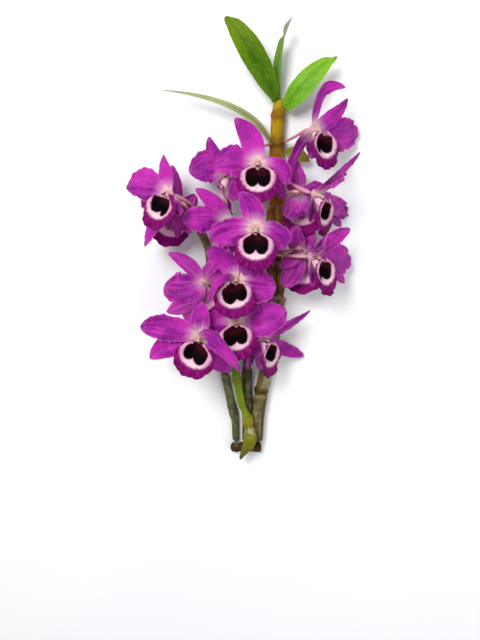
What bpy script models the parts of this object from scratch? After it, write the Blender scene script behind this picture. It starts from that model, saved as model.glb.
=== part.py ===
"""A cut stem of dendrobium orchid, lying on its back with its blooms facing up.

The stem runs along +Y, from the cut rootstock to the leaf tips. +X is to the right of someone who
looks down on it, and +Z is up from the surface that it lies on. Lengths in the tables below are in
millimetres and angles are in degrees. The origin is at the middle of the underside of its box.
"""

import math

import bpy
import numpy as np
from mathutils import Vector

MM = 0.001

# The layout is drawn from the foot of the canes, and this point of it becomes the origin.
LAYOUT_ORIGIN = (1.31, 195.14)

# Blades, walls and clearances
BLADE_THICKNESS = 0.7
LIP_THICKNESS = 0.7
SEAT_GAP = 0.3

# Parts of one bloom
HUB_RADIUS = 3.6
HUB_DEPTH = 3.2
HUB_RINGS = (-0.9, 0.0, 0.9)
COLUMN_LENGTH = 9.5
COLUMN_RADIUS = 2.3
COLUMN_DROOP = 2.0
COLUMN_RINGS = (0.0, 0.8, 1.0)
COLUMN_TAPER = (0.9, 1.0, 0.55)
PEDICEL_RADIUS = 1.25
OVARY_RADIUS = 1.7
STALK_BOW = (12.0, 12.0)

# Each tepal starts this share of the hub's radius from its middle, so that all are rooted in it
TEPAL_ROOT = 0.3

# Blade outlines: full width, share of it at the root, place of the broadest point, roundness of the
# tip, arch of the midrib, cup of the cross-section, height and number of the waves along the edge
SEPAL = {"width": 15.5, "claw": 0.46, "broadest": 0.42, "round": 0.58, "arch": 1.0, "cup": 0.10,
         "wave": 0.5, "waves": 1.2}
LATERAL = {**SEPAL, "arch": -0.5, "cup": 0.06}
PETAL = {"width": 24.0, "claw": 0.30, "broadest": 0.54, "round": 0.52, "arch": 2.5, "cup": 0.10,
         "wave": 1.5, "waves": 1.6}
# The edges of a blade, and neighbouring tepals, are these shares of a wave out of step
EDGE_LAG = 0.17
TEPAL_LAG = 0.13

# The lip is a funnel, open along its top: how far along it, depth in front of the hub, drop below
# the hub, radius, and how far its wall reaches round from the lowest line on either side
LIP_RINGS = [
    (0.00, 1.8, 4.1, 1.6, 95.0),
    (0.20, 4.6, 5.6, 5.2, 118.0),
    (0.42, 9.0, 8.4, 8.6, 140.0),
    (0.62, 13.6, 11.3, 10.6, 152.0),
    (0.80, 16.4, 12.6, 14.4, 160.0),
    (1.00, 16.4, 13.6, 18.2, 166.0),
]
# Towards its open top the margin draws in by this share of the radius and leans back this far
LIP_NARROWING = 0.34
LIP_LEAN = 5.0
LIP_POINT = 1.2
LIP_WAVE = 0.8
LIP_WAVES = 5.0

# How finely the solids are cut: rows along a blade and columns across it, then rings and sides
PETAL_GRID = (6, 4)
SEPAL_GRID = (4, 2)
LIP_GRID = (4, 8)
TIP_CROWDING = 1.35
HUB_SIDES = 6
STALK_RINGS = 6
STALK_SIDES = 5
ROOTSTOCK_SIDES = 8
SHARP_ANGLE = 50.0

# Each bloom: place of the hub, the way it faces, and the way its top points. Then its tepals, each
# with the direction it takes in plan, its reach and its rise from the hub, in the order dorsal sepal,
# left petal, right petal, left sepal, right sepal; a tepal that differs from its kind says how, and
# one that curls over the lip names the points that pull its midrib. Last is the seat of its stalk:
# the cane, the distance up the stem, the side of the cane as a direction across it, and how far the
# stalk bows out from the bloom and from the cane. Blooms 13 to 16 look away and show their backs.
BLOOMS = {
    "01": {"hub": (-62, 247, 50), "face": (-0.55, 0.2, 0.8), "top": (-0.2, 1, 0),
           "tepals": [(98, 32, 2, {"width": 14.7}), (171, 37, -8, {"width": 26.6, "bend": 4}),
                      (-60, 20, 14, {"width": 10, "arch": 0}), (-117, 50, -6, {"width": 16.9, "bend": 1}),
                      (-63, 38, -10, {"width": 14.9, "bend": 4})],
           "seat": ("left", 222, (0.77, 0.64), (24, 20))},
    "02": {"hub": (12, 272, 44), "face": (0, 0.05, 1), "top": (0, 1, 0),
           "tepals": [(118, 41, 4, {"width": 19, "bend": 4}), (182, 36, 2, {"width": 25.9, "bend": 2.2}),
                      (-36, 30, 2, {"width": 21.7, "bend": -4}), (-124, 38, -6, {"width": 19, "bend": 2.4}),
                      (-51, 38, -10, {"width": 15.4, "bend": -0.7})],
           "seat": ("leafy", 289, (-0.72, 0.7), (18, 18))},
    "03": {"hub": (58, 300, 40), "face": (0.7, 0, 0.7), "top": (0, 1, 0),
           "tepals": [(52, 42, 6, {"width": 12, "via": [(2, 30, 8), (9, 38, 10)]}),
                      (-95, 23, 5, {"width": 20.8, "arch": 0, "bend": -2}),
                      (-1, 43, -34, {"width": 29.1, "bend": 2.6}),
                      (-119, 43, -2, {"width": 12.9, "bend": 4}),
                      (41, 40, -10, {"width": 14.3, "bend": 4})],
           "seat": ("leafy", 292, (0.87, 0.5), (6, 6))},
    "04": {"hub": (60, 247, 46), "face": (0.85, -0.2, 0.48), "top": (0.1, 1, 0),
           "tepals": [(42, 51, -2, {"width": 11.7, "bend": 1.3}), (38, 27, 20, {"width": 21.2, "bend": 4}),
                      (-31, 40, -45, {"width": 17.3, "bend": -0.7}), (-99, 24, 2, {"arch": 0}),
                      (-47, 41, -39, {"width": 16.7, "bend": -2.2})],
           "seat": ("leafy", 263, (-0.01, 1), (12, 20))},
    "05": {"hub": (58, 194, 48), "face": (0.8, 0.05, 0.6), "top": (0, 1, 0),
           "tepals": [(36, 40, 2, {"width": 18.5, "bend": -3.3}), (60, 22, 18, {"width": 16}),
                      (-10, 40, -40, {"width": 29.5, "bend": 0.4}), (-88, 25, 6, {"arch": 0, "width": 11}),
                      (-39, 42, -26, {"width": 17.4, "bend": -4})],
           "seat": ("leafy", 194, (-0.26, 0.97), (14, 20))},
    "06": {"hub": (10, 219, 60), "face": (0, -0.1, 1), "top": (0, 1, 0),
           "tepals": [(115, 32, 4, {"width": 19, "bend": 4}), (-163, 39, -4, {"width": 23.6, "bend": 4}),
                      (-34, 30, -2, {"width": 23.4, "bend": -4}),
                      (-104, 41, -6, {"width": 17.1, "bend": -0.7}), (-65, 35, -10)],
           "seat": ("leafy", 244, (-0.6, 0.8), (18, 18))},
    "07": {"hub": (-6, 175, 50), "face": (-0.05, 0.1, 1), "top": (0.05, 1, 0),
           "tepals": [(78, 30, -6, {"width": 13.1}), (134, 36, 8, {"width": 19.2, "bend": 4}),
                      (-9, 34, 2, {"width": 29.7, "bend": 3.2}),
                      (-143, 30, 22, {"width": 6.7, "via": [(-6, 6, 14), (-17, 7, 36)]}),
                      (-56, 33, -8, {"width": 19, "bend": 4})],
           "seat": ("leafy", 193, (-0.87, 0.5), (24, 14))},
    "08": {"hub": (-6, 137, 44), "face": (-0.05, 0.1, 1), "top": (0, 1, 0),
           "tepals": [(77, 27, -10), (-171, 27, -4), (14, 44, 0, {"width": 30, "bend": 4}),
                      (-107, 35, -6, {"width": 15.9}), (-55, 37, 6, {"width": 17.6})],
           "seat": ("young", 124, (0, 1), (14, 6))},
    "09": {"hub": (-38, 125, 54), "face": (-0.05, -0.05, 1), "top": (0.2, 1, 0),
           "tepals": [(82, 31, 2, {"width": 17.5, "bend": -1.6}), (170, 51, 2, {"width": 24.3, "bend": 4}),
                      (-37, 44, 16, {"width": 14.2, "via": [(6, 6, 14), (14, 9, 34)]}),
                      (-155, 48, -4, {"width": 23, "bend": 4}), (-50, 43, -10, {"width": 19, "bend": 4})],
           "seat": ("left", 122, (0.1, 0.99))},
    "10": {"hub": (15, 121, 36), "face": (0.85, -0.15, 0.5), "top": (0.15, 1, 0),
           "tepals": [(29, 50, 2, {"width": 15.6, "bend": 1.6}), (110, 22, -4, {"width": 18}),
                      (-31, 48, -34, {"arch": 0, "width": 12.8, "bend": 0.9}),
                      (-107, 33, -10, {"width": 19, "bend": 4}),
                      (-84, 33, -18, {"width": 18.9, "bend": 3.3})],
           "seat": ("leafy", 134, (-0.87, 0.5), (24, 20))},
    "11": {"hub": (-12, 265, 30), "face": (-0.85, -0.5, 0.1), "top": (-0.5, 0.85, 0),
           "tepals": [(120, 34, 2, {"width": 13, "face": (-0.2, 0.2, 1), "bend": -3.8}),
                      (181, 34, 4, {"width": 28.6, "face": (-0.2, 0.2, 1), "bend": 4}),
                      (-170, 7, -29, {"width": 14.5, "bend": -3.2}), (-62, 24, -10, {"width": 12}),
                      (-30, 28, -12, {"width": 12})],
           "seat": ("leafy", 267, (-0.5, 0.87), (12, 20))},
    "12": {"hub": (-13, 222, 38), "face": (-0.8, -0.4, 0.3), "top": (-0.3, 0.95, 0),
           "tepals": [(134, 40, 4, {"width": 14.3, "face": (-0.2, 0.2, 1), "bend": 3}),
                      (175, 39, 11, {"width": 22.7, "face": (-0.2, 0.2, 1), "bend": 1.5}),
                      (150, 8, -26, {"width": 16}), (-85, 30, -16), (-50, 33, -10)],
           "seat": ("leafy", 215, (-0.8, 0.6), (18, 18))},
    "13": {"hub": (-35, 171, 40), "face": (0, -0.25, -0.97), "top": (0.15, 1, 0),
           "tepals": [(139, 39, 4, {"width": 13, "bend": -3.3}), (184, 33, 8, {"width": 30, "bend": 4}),
                      (44, 28, -12, {"width": 22.8, "bend": -0.5}), (-141, 41, 4, {"width": 19, "bend": 4}),
                      (-110, 38, 4, {"width": 18.3, "bend": -4})],
           "seat": ("left", 160, (0.5, 0.87), (24, 20))},
    "14": {"hub": (-57, 236, 32), "face": (-0.35, -0.3, -0.88), "top": (0.3, 0.95, 0),
           "tepals": [(97, 35, -6, {"width": 19, "bend": 2.3}), (-180, 30, 10, {"width": 20.2, "bend": -4}),
                      (38, 17, -8, {"width": 14.9, "bend": -4}), (-150, 28, 8, {"width": 13}),
                      (-90, 27, 8, {"width": 10})],
           "seat": ("left", 222, (0, 1), (24, 20))},
    "15": {"hub": (49, 246, 32), "face": (0.2, -0.25, -0.95), "top": (-0.1, 1, 0),
           "tepals": [(95, 29, -2, {"width": 18.6, "bend": 3.3}), (-121, 23, 6, {"width": 18}),
                      (20, 23, -2, {"width": 17.9, "bend": -1.1}),
                      (-139, 20, 0, {"width": 10.3, "bend": 0.6}), (-53, 28, 4, {"width": 12})],
           "seat": ("leafy", 246, (0.16, 0.99), (18, 18))},
    "16": {"hub": (52, 196, 32), "face": (0.2, -0.45, -0.87), "top": (0, 1, 0),
           "tepals": [(101, 24, 3, {"width": 16.7, "bend": 3.8}),
                      (-120, 33, 12, {"width": 19.4, "bend": 0.5}), (51, 20, -7, {"width": 16, "bend": 4}),
                      (-148, 24, 6, {"width": 13.5}), (-10, 28, -5, {"width": 15.5, "bend": 0.6})],
           "seat": ("leafy", 195, (0.41, 0.91), (18, 18))},
}
TEPAL_KINDS = (SEPAL, PETAL, PETAL, LATERAL, LATERAL)

# Canes: points from foot to tip, each with its place and its radius; the fat ones are the joints
CANES = {
    "leafy": [(13.0, 12.4, 7.2, 5.0), (13.5, 32, 7.2, 5.6), (16.6, 60, 7.2, 6.0), (17.2, 64, 7.2, 7.0),
              (18.2, 68, 7.2, 6.0), (23.1, 89, 7.2, 6.2), (28.0, 122, 7.2, 6.2), (30.6, 146, 7.2, 6.4),
              (30.9, 150, 7.2, 7.7), (30.8, 154, 7.2, 6.5), (29.4, 172, 7.2, 6.7), (28.9, 189, 7.2, 6.6),
              (28.9, 192, 7.2, 7.7), (28.9, 195, 7.2, 7.7), (28.9, 198, 7.2, 6.6), (29.4, 221, 7.2, 7.0),
              (30.6, 240, 7.2, 6.4), (30.9, 246, 7.2, 7.7), (30.8, 251, 7.2, 6.2), (30.0, 266, 7.2, 6.9),
              (29.7, 286, 7.2, 6.5), (29.7, 290, 7.2, 7.4), (29.8, 294, 7.2, 6.1), (30.2, 311, 7.4, 5.9),
              (30.4, 314, 7.4, 6.6), (30.8, 317, 7.6, 5.8), (31.8, 327, 8.0, 5.2), (32.0, 329, 8.0, 3.4)],
    "left": [(-7.0, 12.4, 4.3, 3.0), (-7.6, 32, 4.3, 3.4), (-9.5, 42, 4.3, 4.2), (-12.0, 54, 4.3, 3.4),
             (-16.9, 80, 4.3, 3.6), (-17.8, 84, 4.3, 4.5), (-18.7, 88, 4.3, 3.6), (-23.4, 118, 4.3, 3.6),
             (-24.3, 122, 4.3, 4.6), (-25.0, 126, 4.3, 3.6), (-27.5, 157, 4.3, 4.5), (-28.5, 170, 4.3, 3.5),
             (-29.3, 186, 4.3, 4.7), (-32.0, 197, 4.8, 3.6), (-39.0, 213, 5.0, 3.7), (-45.0, 222, 5.0, 4.4),
             (-48.0, 226, 5.0, 2.4)],
    "back": [(2.6, 12.4, 4.6, 3.6), (3.4, 34, 4.6, 4.0), (3.6, 49, 4.6, 4.9), (3.7, 54, 4.6, 4.1),
             (3.7, 80, 4.6, 4.8), (3.6, 86, 4.6, 3.9), (2.9, 102, 4.6, 3.4), (2.7, 106, 4.6, 1.6)],
    "young": [(-2.9, -2.6, 13.8, 1.2), (-1.0, 2, 15.0, 2.2), (2.6, 9, 16.9, 4.2), (5.8, 16, 17.6, 6.0),
              (6.5, 21, 17.8, 6.3), (5.8, 27, 17.8, 5.2), (4.9, 30.5, 17.8, 4.4), (4.3, 36, 17.8, 5.2),
              (3.6, 41, 17.8, 4.9), (1.8, 46, 17.8, 3.9), (-1.0, 53, 18.0, 3.8), (-4.8, 72, 18.5, 3.8),
              (-5.8, 77, 18.6, 4.5), (-6.6, 82, 18.7, 3.7), (-9.6, 104, 19.0, 3.6), (-11.6, 119, 19.2, 4.3),
              (-12.2, 124, 19.3, 3.4), (-12.6, 128, 19.4, 1.6)],
}
CANE_SIDES = {"leafy": 12, "left": 8, "back": 6, "young": 8}

# Rootstock: a short knuckled bar across the foot of the canes, with a plain cut end
ROOTSTOCK = [(-12.0, 7.0, 4.6, 2.6), (-8.5, 7, 4.6, 4.8), (-3.0, 7, 4.6, 4.2), (1.5, 7, 4.6, 5.0),
             (4.0, 7, 4.6, 5.0), (8.0, 7, 4.6, 4.3), (13.0, 7, 4.6, 5.0), (17.5, 7, 4.6, 4.4)]

# Leaves: three points that draw the midrib, full width, direction the face looks, twist and cup, how
# finely the blade is cut, and how its outline differs from that of most leaves
LEAVES = {
    "leaf_broad_left": {"midrib": [(28.4, 326.5, 13.9), (11, 362, 30), (-12.5, 392.8, 24)],
                        "width": 21.0, "face": (0.1, 0.0, 1.0), "twist": 0.0, "cup": 0.10,
                        "grid": (8, 4), "outline": {"claw": 0.40, "broadest": 0.52, "round": 0.44}},
    "leaf_broad_right": {"midrib": [(36.6, 319.6, 13.6), (51, 340, 30), (76, 361.5, 20)],
                         "width": 19.5, "face": (-0.2, 0.1, 1.0), "twist": 0.0, "cup": 0.12,
                         "grid": (8, 4), "outline": {"claw": 0.46, "round": 0.52}},
    "leaf_narrow_top": {"midrib": [(31.4, 329.9, 8.0), (25.5, 367, 12), (40.6, 392.4, 26)],
                        "width": 13.0, "face": (-0.9, 0.1, 0.7), "twist": 20.0, "cup": 0.10,
                        "grid": (8, 2), "outline": {"broadest": 0.40, "round": 0.80}},
    "leaf_old_thin": {"midrib": [(22.4, 293.8, 8.8), (4, 326, 30), (-68.8, 334, 20)],
                      "width": 6.0, "face": (0.0, 0.3, 1.0), "twist": 0.0, "cup": 0.2,
                      "grid": (10, 2), "outline": {"claw": 0.45, "broadest": 0.30}},
    "leaf_bract": {"midrib": [(37.4, 283.0, 9.0), (47, 282, 16), (58.5, 275, 10)],
                   "width": 12.0, "face": (0.0, 0.0, 1.0), "twist": 0.0, "cup": 0.12,
                   "grid": (4, 2), "outline": {}},
}
LEAF_OUTLINE = {"claw": 0.34, "broadest": 0.45, "round": 0.66, "wave": 0.0, "waves": 1.0}
NARROWEST = 0.07

COLOURS = {
    "tepal_magenta": ("B01AA8", 0.55),
    "lip_maroon": ("5E0A4E", 0.75),
    "stalk_pink": ("D9A08A", 0.50),
    "cane_golden": ("9A6A1E", 0.60),
    "cane_grey": ("8C8560", 0.70),
    "cane_dark": ("4E5A26", 0.60),
    "cane_young": ("9FB52B", 0.45),
    "rootstock_brown": ("5A4326", 0.85),
    "leaf_green": ("4FA012", 0.40),
    "leaf_pale": ("A9B27F", 0.60),
}
CANE_COLOURS = {"leafy": "cane_golden", "left": "cane_grey", "back": "cane_dark", "young": "cane_young"}
LEAF_COLOURS = {"leaf_old_thin": "leaf_pale"}


def clear_scene():
    """Remove every object that the file opened with."""
    for old in list(bpy.data.objects):
        bpy.data.objects.remove(old)


def linear(channel):
    """One sRGB channel, 0 to 1, as linear light."""
    if channel <= 0.04045:
        return channel / 12.92
    return ((channel + 0.055) / 1.055) ** 2.4


def make_material(name):
    """A plain Principled material from the table of colours."""
    colour, roughness = COLOURS[name]
    channels = [int(colour[i:i + 2], 16) / 255.0 for i in (0, 2, 4)]
    material = bpy.data.materials.new(name)
    material.use_nodes = True
    shader = material.node_tree.nodes["Principled BSDF"]
    shader.inputs["Base Color"].default_value = [linear(c) for c in channels] + [1.0]
    shader.inputs["Roughness"].default_value = roughness
    shader.inputs["Metallic"].default_value = 0.0
    return material


def unit(vectors):
    """The vectors, each at length one."""
    vectors = np.asarray(vectors, float)
    return vectors / np.linalg.norm(vectors, axis=-1, keepdims=True)


def add_object(name, points, faces, material_name):
    """Put a closed mesh, given in millimetres of the layout, into the scene in metres."""
    shift = np.array([LAYOUT_ORIGIN[0], LAYOUT_ORIGIN[1], 0.0])
    points = (np.asarray(points, float) - shift) * MM
    mesh = bpy.data.meshes.new(name)
    mesh.from_pydata([tuple(p) for p in points], [], faces)
    if material_name not in bpy.data.materials:
        make_material(material_name)
    mesh.materials.append(bpy.data.materials[material_name])
    mesh.shade_smooth()
    mesh.set_sharp_from_angle(angle=math.radians(SHARP_ANGLE))
    thing = bpy.data.objects.new(name, mesh)
    bpy.context.scene.collection.objects.link(thing)
    return thing


def sheet_solid(surface, thickness):
    """A grid of points given a thickness: a front, a back and a rim, as one closed body.

    Both faces are split along the same diagonals, so that a waved blade never crosses itself.
    """
    along = np.gradient(surface, axis=0)
    across = np.gradient(surface, axis=1)
    offset = unit(np.cross(along, across)) * thickness / 2
    rows, columns = surface.shape[:2]
    count = rows * columns
    points = np.concatenate([(surface + offset).reshape(-1, 3), (surface - offset).reshape(-1, 3)])
    faces = []
    for row in range(rows - 1):
        for column in range(columns - 1):
            a = row * columns + column
            b = a + 1
            c = a + columns + 1
            d = a + columns
            faces += [(a, c, b), (a, d, c)]
            faces += [(count + a, count + b, count + c), (count + a, count + c, count + d)]
    rim = [(0, column) for column in range(columns)]
    rim += [(row, columns - 1) for row in range(1, rows)]
    rim += [(rows - 1, column) for column in range(columns - 2, -1, -1)]
    rim += [(row, 0) for row in range(rows - 2, 0, -1)]
    edge = [row * columns + column for row, column in rim]
    for here, after in zip(edge, edge[1:] + edge[:1]):
        faces += [(here, after, count + here), (after, count + after, count + here)]
    return points, faces


def ring_frames(path):
    """Two directions across a path at each of its points, carried along without twisting."""
    tangents = unit(np.gradient(path, axis=0))
    first = Vector(tangents[0])
    side = first.orthogonal().normalized()
    if abs(first.y) > 0.6:
        side = Vector((1.0, 0.0, 0.0))
        side = (side - side.dot(first) * first).normalized()
    sides = []
    for tangent in tangents:
        tangent = Vector(tangent)
        side = (side - side.dot(tangent) * tangent).normalized()
        sides.append(tuple(side))
    sides = np.array(sides)
    return sides, np.cross(tangents, sides)


def tube_solid(path, radii, sides_count, flat_below=None):
    """A round bar along a path, with flat ends; what lies under flat_below is pressed flat."""
    path = np.asarray(path, float)
    side, over = ring_frames(path)
    angles = (np.arange(sides_count) + 0.5) * 2 * math.pi / sides_count
    rings = (side[:, None, :] * np.cos(angles)[None, :, None]
             + over[:, None, :] * np.sin(angles)[None, :, None])
    points = path[:, None, :] + rings * np.asarray(radii, float)[:, None, None]
    if flat_below is not None:
        points[:, :, 2] = np.maximum(points[:, :, 2], flat_below)
    count = len(path)
    faces = []
    for ring in range(count - 1):
        for step in range(sides_count):
            a = ring * sides_count + step
            b = ring * sides_count + (step + 1) % sides_count
            faces.append((a, b, b + sides_count, a + sides_count))
    faces.append(tuple(range(sides_count - 1, -1, -1)))
    faces.append(tuple((count - 1) * sides_count + step for step in range(sides_count)))
    return points.reshape(-1, 3), faces


def bezier(points, share):
    """Points of the Bezier curve through three or four control points."""
    share = np.asarray(share, float)[:, None]
    control = [np.asarray(p, float) for p in points]
    while len(control) > 1:
        control = [a * (1 - share) + b * share for a, b in zip(control, control[1:])]
    return control[0]


def blade_rows(count):
    """Places of the rows along a blade, closer together towards its tip."""
    steps = np.linspace(0.0, 1.0, count + 1)
    return 1.0 - (1.0 - steps) ** TIP_CROWDING


def blade_width(outline, width, share):
    """Half the width of a blade at each share of its length."""
    power = math.log(0.5) / math.log(outline["broadest"])
    swell = np.sin(math.pi * np.clip(share, 0.0, 1.0) ** power)
    swell = np.maximum(swell, 0.0) ** outline["round"]
    claw = outline["claw"] * (1.0 - share) ** 3
    return width / 2 * np.maximum(np.maximum(swell, claw), NARROWEST)


def blade_surface(midrib, facing, width, outline, grid, twist=0.0, cup=0.1, phase=0.0):
    """The middle surface of a tepal or leaf, as a grid of points.

    The midrib is a Bezier curve. Across it the blade is cupped towards its face as the square of
    the distance from the midrib, and its edges rise and fall in waves.
    """
    rows, columns = grid
    share = blade_rows(rows)
    spine = bezier(midrib, share)
    ahead = bezier(midrib, np.clip(share + 1e-3, 0.0, 1.0))
    tangent = unit(ahead - bezier(midrib, np.clip(share - 1e-3, 0.0, 1.0)))
    facing = np.asarray(facing, float)
    normal = unit(facing - (tangent @ facing)[:, None] * tangent)
    side = np.cross(tangent, normal)
    turn = np.radians(twist) * share[:, None]
    side, normal = (side * np.cos(turn) + normal * np.sin(turn), normal * np.cos(turn) - side * np.sin(turn))
    across = np.linspace(-1.0, 1.0, columns + 1)
    half = blade_width(outline, width, share)
    wave = np.sin(2 * math.pi * (outline["waves"] * share[:, None] + phase + EDGE_LAG * np.sign(across)))
    lift = cup * half[:, None] * across ** 2
    lift = lift + outline["wave"] * wave * np.abs(across) ** 1.5 * np.sin(math.pi * share[:, None]) ** 0.5
    spread = half[:, None] * across
    return (spine[:, None, :] + side[:, None, :] * spread[:, :, None]
            + normal[:, None, :] * lift[:, :, None])


def bloom_axes(bloom):
    """The directions that a bloom faces, points its top, and points its right side."""
    face = unit(bloom["face"])
    top = np.asarray(bloom["top"], float)
    top = unit(top - (top @ face) * face)
    return face, top, np.cross(top, face)


def tepal_surface(bloom, index):
    """The middle surface of one tepal of a bloom, from the hub to its tip."""
    kind = TEPAL_KINDS[index]
    hub = np.asarray(bloom["hub"], float)
    face = bloom_axes(bloom)[0]
    angle, reach, rise = bloom["tepals"][index][:3]
    own = bloom["tepals"][index][3] if len(bloom["tepals"][index]) > 3 else {}
    grid = PETAL_GRID if kind is PETAL or "via" in own else SEPAL_GRID
    angle = math.radians(angle)
    tip = hub + (reach * math.cos(angle), reach * math.sin(angle), rise)
    outward = unit(tip - hub)
    root = hub + outward * HUB_RADIUS * TEPAL_ROOT
    facing = own.get("face", face)
    arch_way = unit(facing - (np.asarray(facing, float) @ outward) * outward)
    sideways = np.cross(outward, arch_way) * own.get("bend", 0.0)
    middle = [(root + tip) / 2 + (arch_way * own.get("arch", kind["arch"]) + sideways) * 2]
    if "via" in own:
        middle = [hub + offset for offset in own["via"]]
    return blade_surface([root, *middle, tip], facing, own.get("width", kind["width"]), kind, grid,
                         cup=kind["cup"], phase=TEPAL_LAG * index)


def hub_solid(bloom):
    """The small round knob where the tepals meet, flattened along the way the bloom faces."""
    face = bloom_axes(bloom)[0]
    heights = np.array(HUB_RINGS)
    path = np.asarray(bloom["hub"], float) + face * (heights * HUB_DEPTH)[:, None]
    return tube_solid(path, HUB_RADIUS * np.sqrt(1.0 - heights ** 2), HUB_SIDES)


def column_solid(bloom):
    """The column: a blunt rod from the hub, forward and a little down, under the lip's open top."""
    face, top = bloom_axes(bloom)[:2]
    share = np.array(COLUMN_RINGS)
    radii = COLUMN_RADIUS * np.array(COLUMN_TAPER)
    path = (np.asarray(bloom["hub"], float) + face * (share * COLUMN_LENGTH)[:, None]
            - top * (share ** 2 * COLUMN_DROOP)[:, None])
    return tube_solid(path, radii, HUB_SIDES)


def lip_surface(bloom, grid):
    """The middle surface of the lip, a funnel open along its top, from its foot to its margin."""
    face, top, right = bloom_axes(bloom)
    rows, columns = grid
    share = np.linspace(0.0, 1.0, rows + 1)
    table = np.array(LIP_RINGS).T
    depth, drop, radius, cover = [np.interp(share, table[0], column) for column in table[1:]]
    across = np.linspace(-1.0, 1.0, columns + 1)
    angle = np.radians(cover)[:, None] * across
    high = np.sin(angle / 2) ** 2
    reach = radius[:, None] * (1.0 - LIP_NARROWING * share[:, None] * high ** 2)
    reach = reach + LIP_POINT * share[:, None] ** 3 * (1.0 - high)
    forward = depth[:, None] - LIP_LEAN * share[:, None] ** 2 * high
    forward = forward + LIP_WAVE * share[:, None] ** 6 * np.sin(LIP_WAVES * angle)
    hub = np.asarray(bloom["hub"], float)
    return (hub + face * forward[:, :, None] - top * (drop[:, None] + reach * np.cos(angle))[:, :, None]
            + right * (reach * np.sin(angle))[:, :, None])


def join_by_union(name, solids, material_name):
    """Fuse closed solids that run into each other, as one body, with a Boolean union."""
    others = bpy.data.collections.new(name + "_others")
    bpy.context.scene.collection.children.link(others)
    base = add_object(name, *solids[0], material_name)
    for index, (points, faces) in enumerate(solids[1:]):
        piece = add_object(f"{name}_piece_{index}", points, faces, material_name)
        bpy.context.scene.collection.objects.unlink(piece)
        others.objects.link(piece)
    union = base.modifiers.new("union", "BOOLEAN")
    union.operation = "UNION"
    union.operand_type = "COLLECTION"
    union.collection = others
    scene_state = bpy.context.evaluated_depsgraph_get()
    fused = bpy.data.meshes.new_from_object(base.evaluated_get(scene_state))
    base.modifiers.clear()
    base.data = fused
    fused.name = name
    for piece in list(others.objects):
        bpy.data.objects.remove(piece)
    bpy.data.collections.remove(others)
    return base


def make_bloom(number, bloom):
    """One bloom: its tepals with hub and column as one body, its lip, and its stalk."""
    solids = [hub_solid(bloom), column_solid(bloom)]
    for index in range(len(TEPAL_KINDS)):
        solids.append(sheet_solid(tepal_surface(bloom, index), BLADE_THICKNESS))
    join_by_union(f"bloom_{number}_tepals", solids, "tepal_magenta")
    lip = sheet_solid(lip_surface(bloom, LIP_GRID), LIP_THICKNESS)
    add_object(f"bloom_{number}_lip", *lip, "lip_maroon")
    path, radii = stalk_path(bloom)
    add_object(f"bloom_{number}_stalk", *tube_solid(path, radii, STALK_SIDES), "stalk_pink")


def cane_at(cane, height):
    """The middle and the radius of a cane at a distance up the stem."""
    rows = np.array(CANES[cane], float)
    middle = np.array([np.interp(height, rows[:, 1], rows[:, k]) for k in (0, 1, 2)])
    return middle, float(np.interp(height, rows[:, 1], rows[:, 3]))


def stalk_path(bloom):
    """The stalk and ovary: from just behind the hub, in a bow, to just above the cane's surface."""
    hub = np.asarray(bloom["hub"], float)
    face = bloom_axes(bloom)[0]
    cane, height, side = bloom["seat"][:3]
    bow = bloom["seat"][3] if len(bloom["seat"]) > 3 else STALK_BOW
    middle, radius = cane_at(cane, height)
    away = unit((side[0], 0.0, side[1]))
    seat = middle + away * (radius + SEAT_GAP)
    behind = hub - face * (HUB_DEPTH + SEAT_GAP)
    share = np.linspace(0.0, 1.0, STALK_RINGS)
    path = bezier([behind, behind - face * bow[0], seat + away * bow[1], seat], share)
    radii = PEDICEL_RADIUS + (OVARY_RADIUS - PEDICEL_RADIUS) * (1.0 - share) ** 2
    return path, radii


def make_cane(name):
    """One cane, a jointed bar that swells at its nodes and rests on the ground by the fattest."""
    rows = np.array(CANES[name], float)
    points, faces = tube_solid(rows[:, :3], rows[:, 3], CANE_SIDES[name], flat_below=0.0)
    add_object(f"cane_{name}", points, faces, CANE_COLOURS[name])


def make_rootstock():
    """The short rootstock that all the canes spring from."""
    rows = np.array(ROOTSTOCK, float)
    points, faces = tube_solid(rows[:, :3], rows[:, 3], ROOTSTOCK_SIDES, flat_below=0.0)
    add_object("rootstock", points, faces, "rootstock_brown")


def make_leaf(name):
    """One leaf, a cupped blade along a bowed midrib."""
    leaf = LEAVES[name]
    outline = {**LEAF_OUTLINE, **leaf["outline"]}
    surface = blade_surface(leaf["midrib"], leaf["face"], leaf["width"], outline, leaf["grid"],
                            leaf["twist"], leaf["cup"])
    add_object(name, *sheet_solid(surface, BLADE_THICKNESS), LEAF_COLOURS.get(name, "leaf_green"))


def main():
    clear_scene()
    for cane in CANES:
        make_cane(cane)
    make_rootstock()
    for leaf in LEAVES:
        make_leaf(leaf)
    for number, bloom in BLOOMS.items():
        make_bloom(number, bloom)


main()
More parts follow.
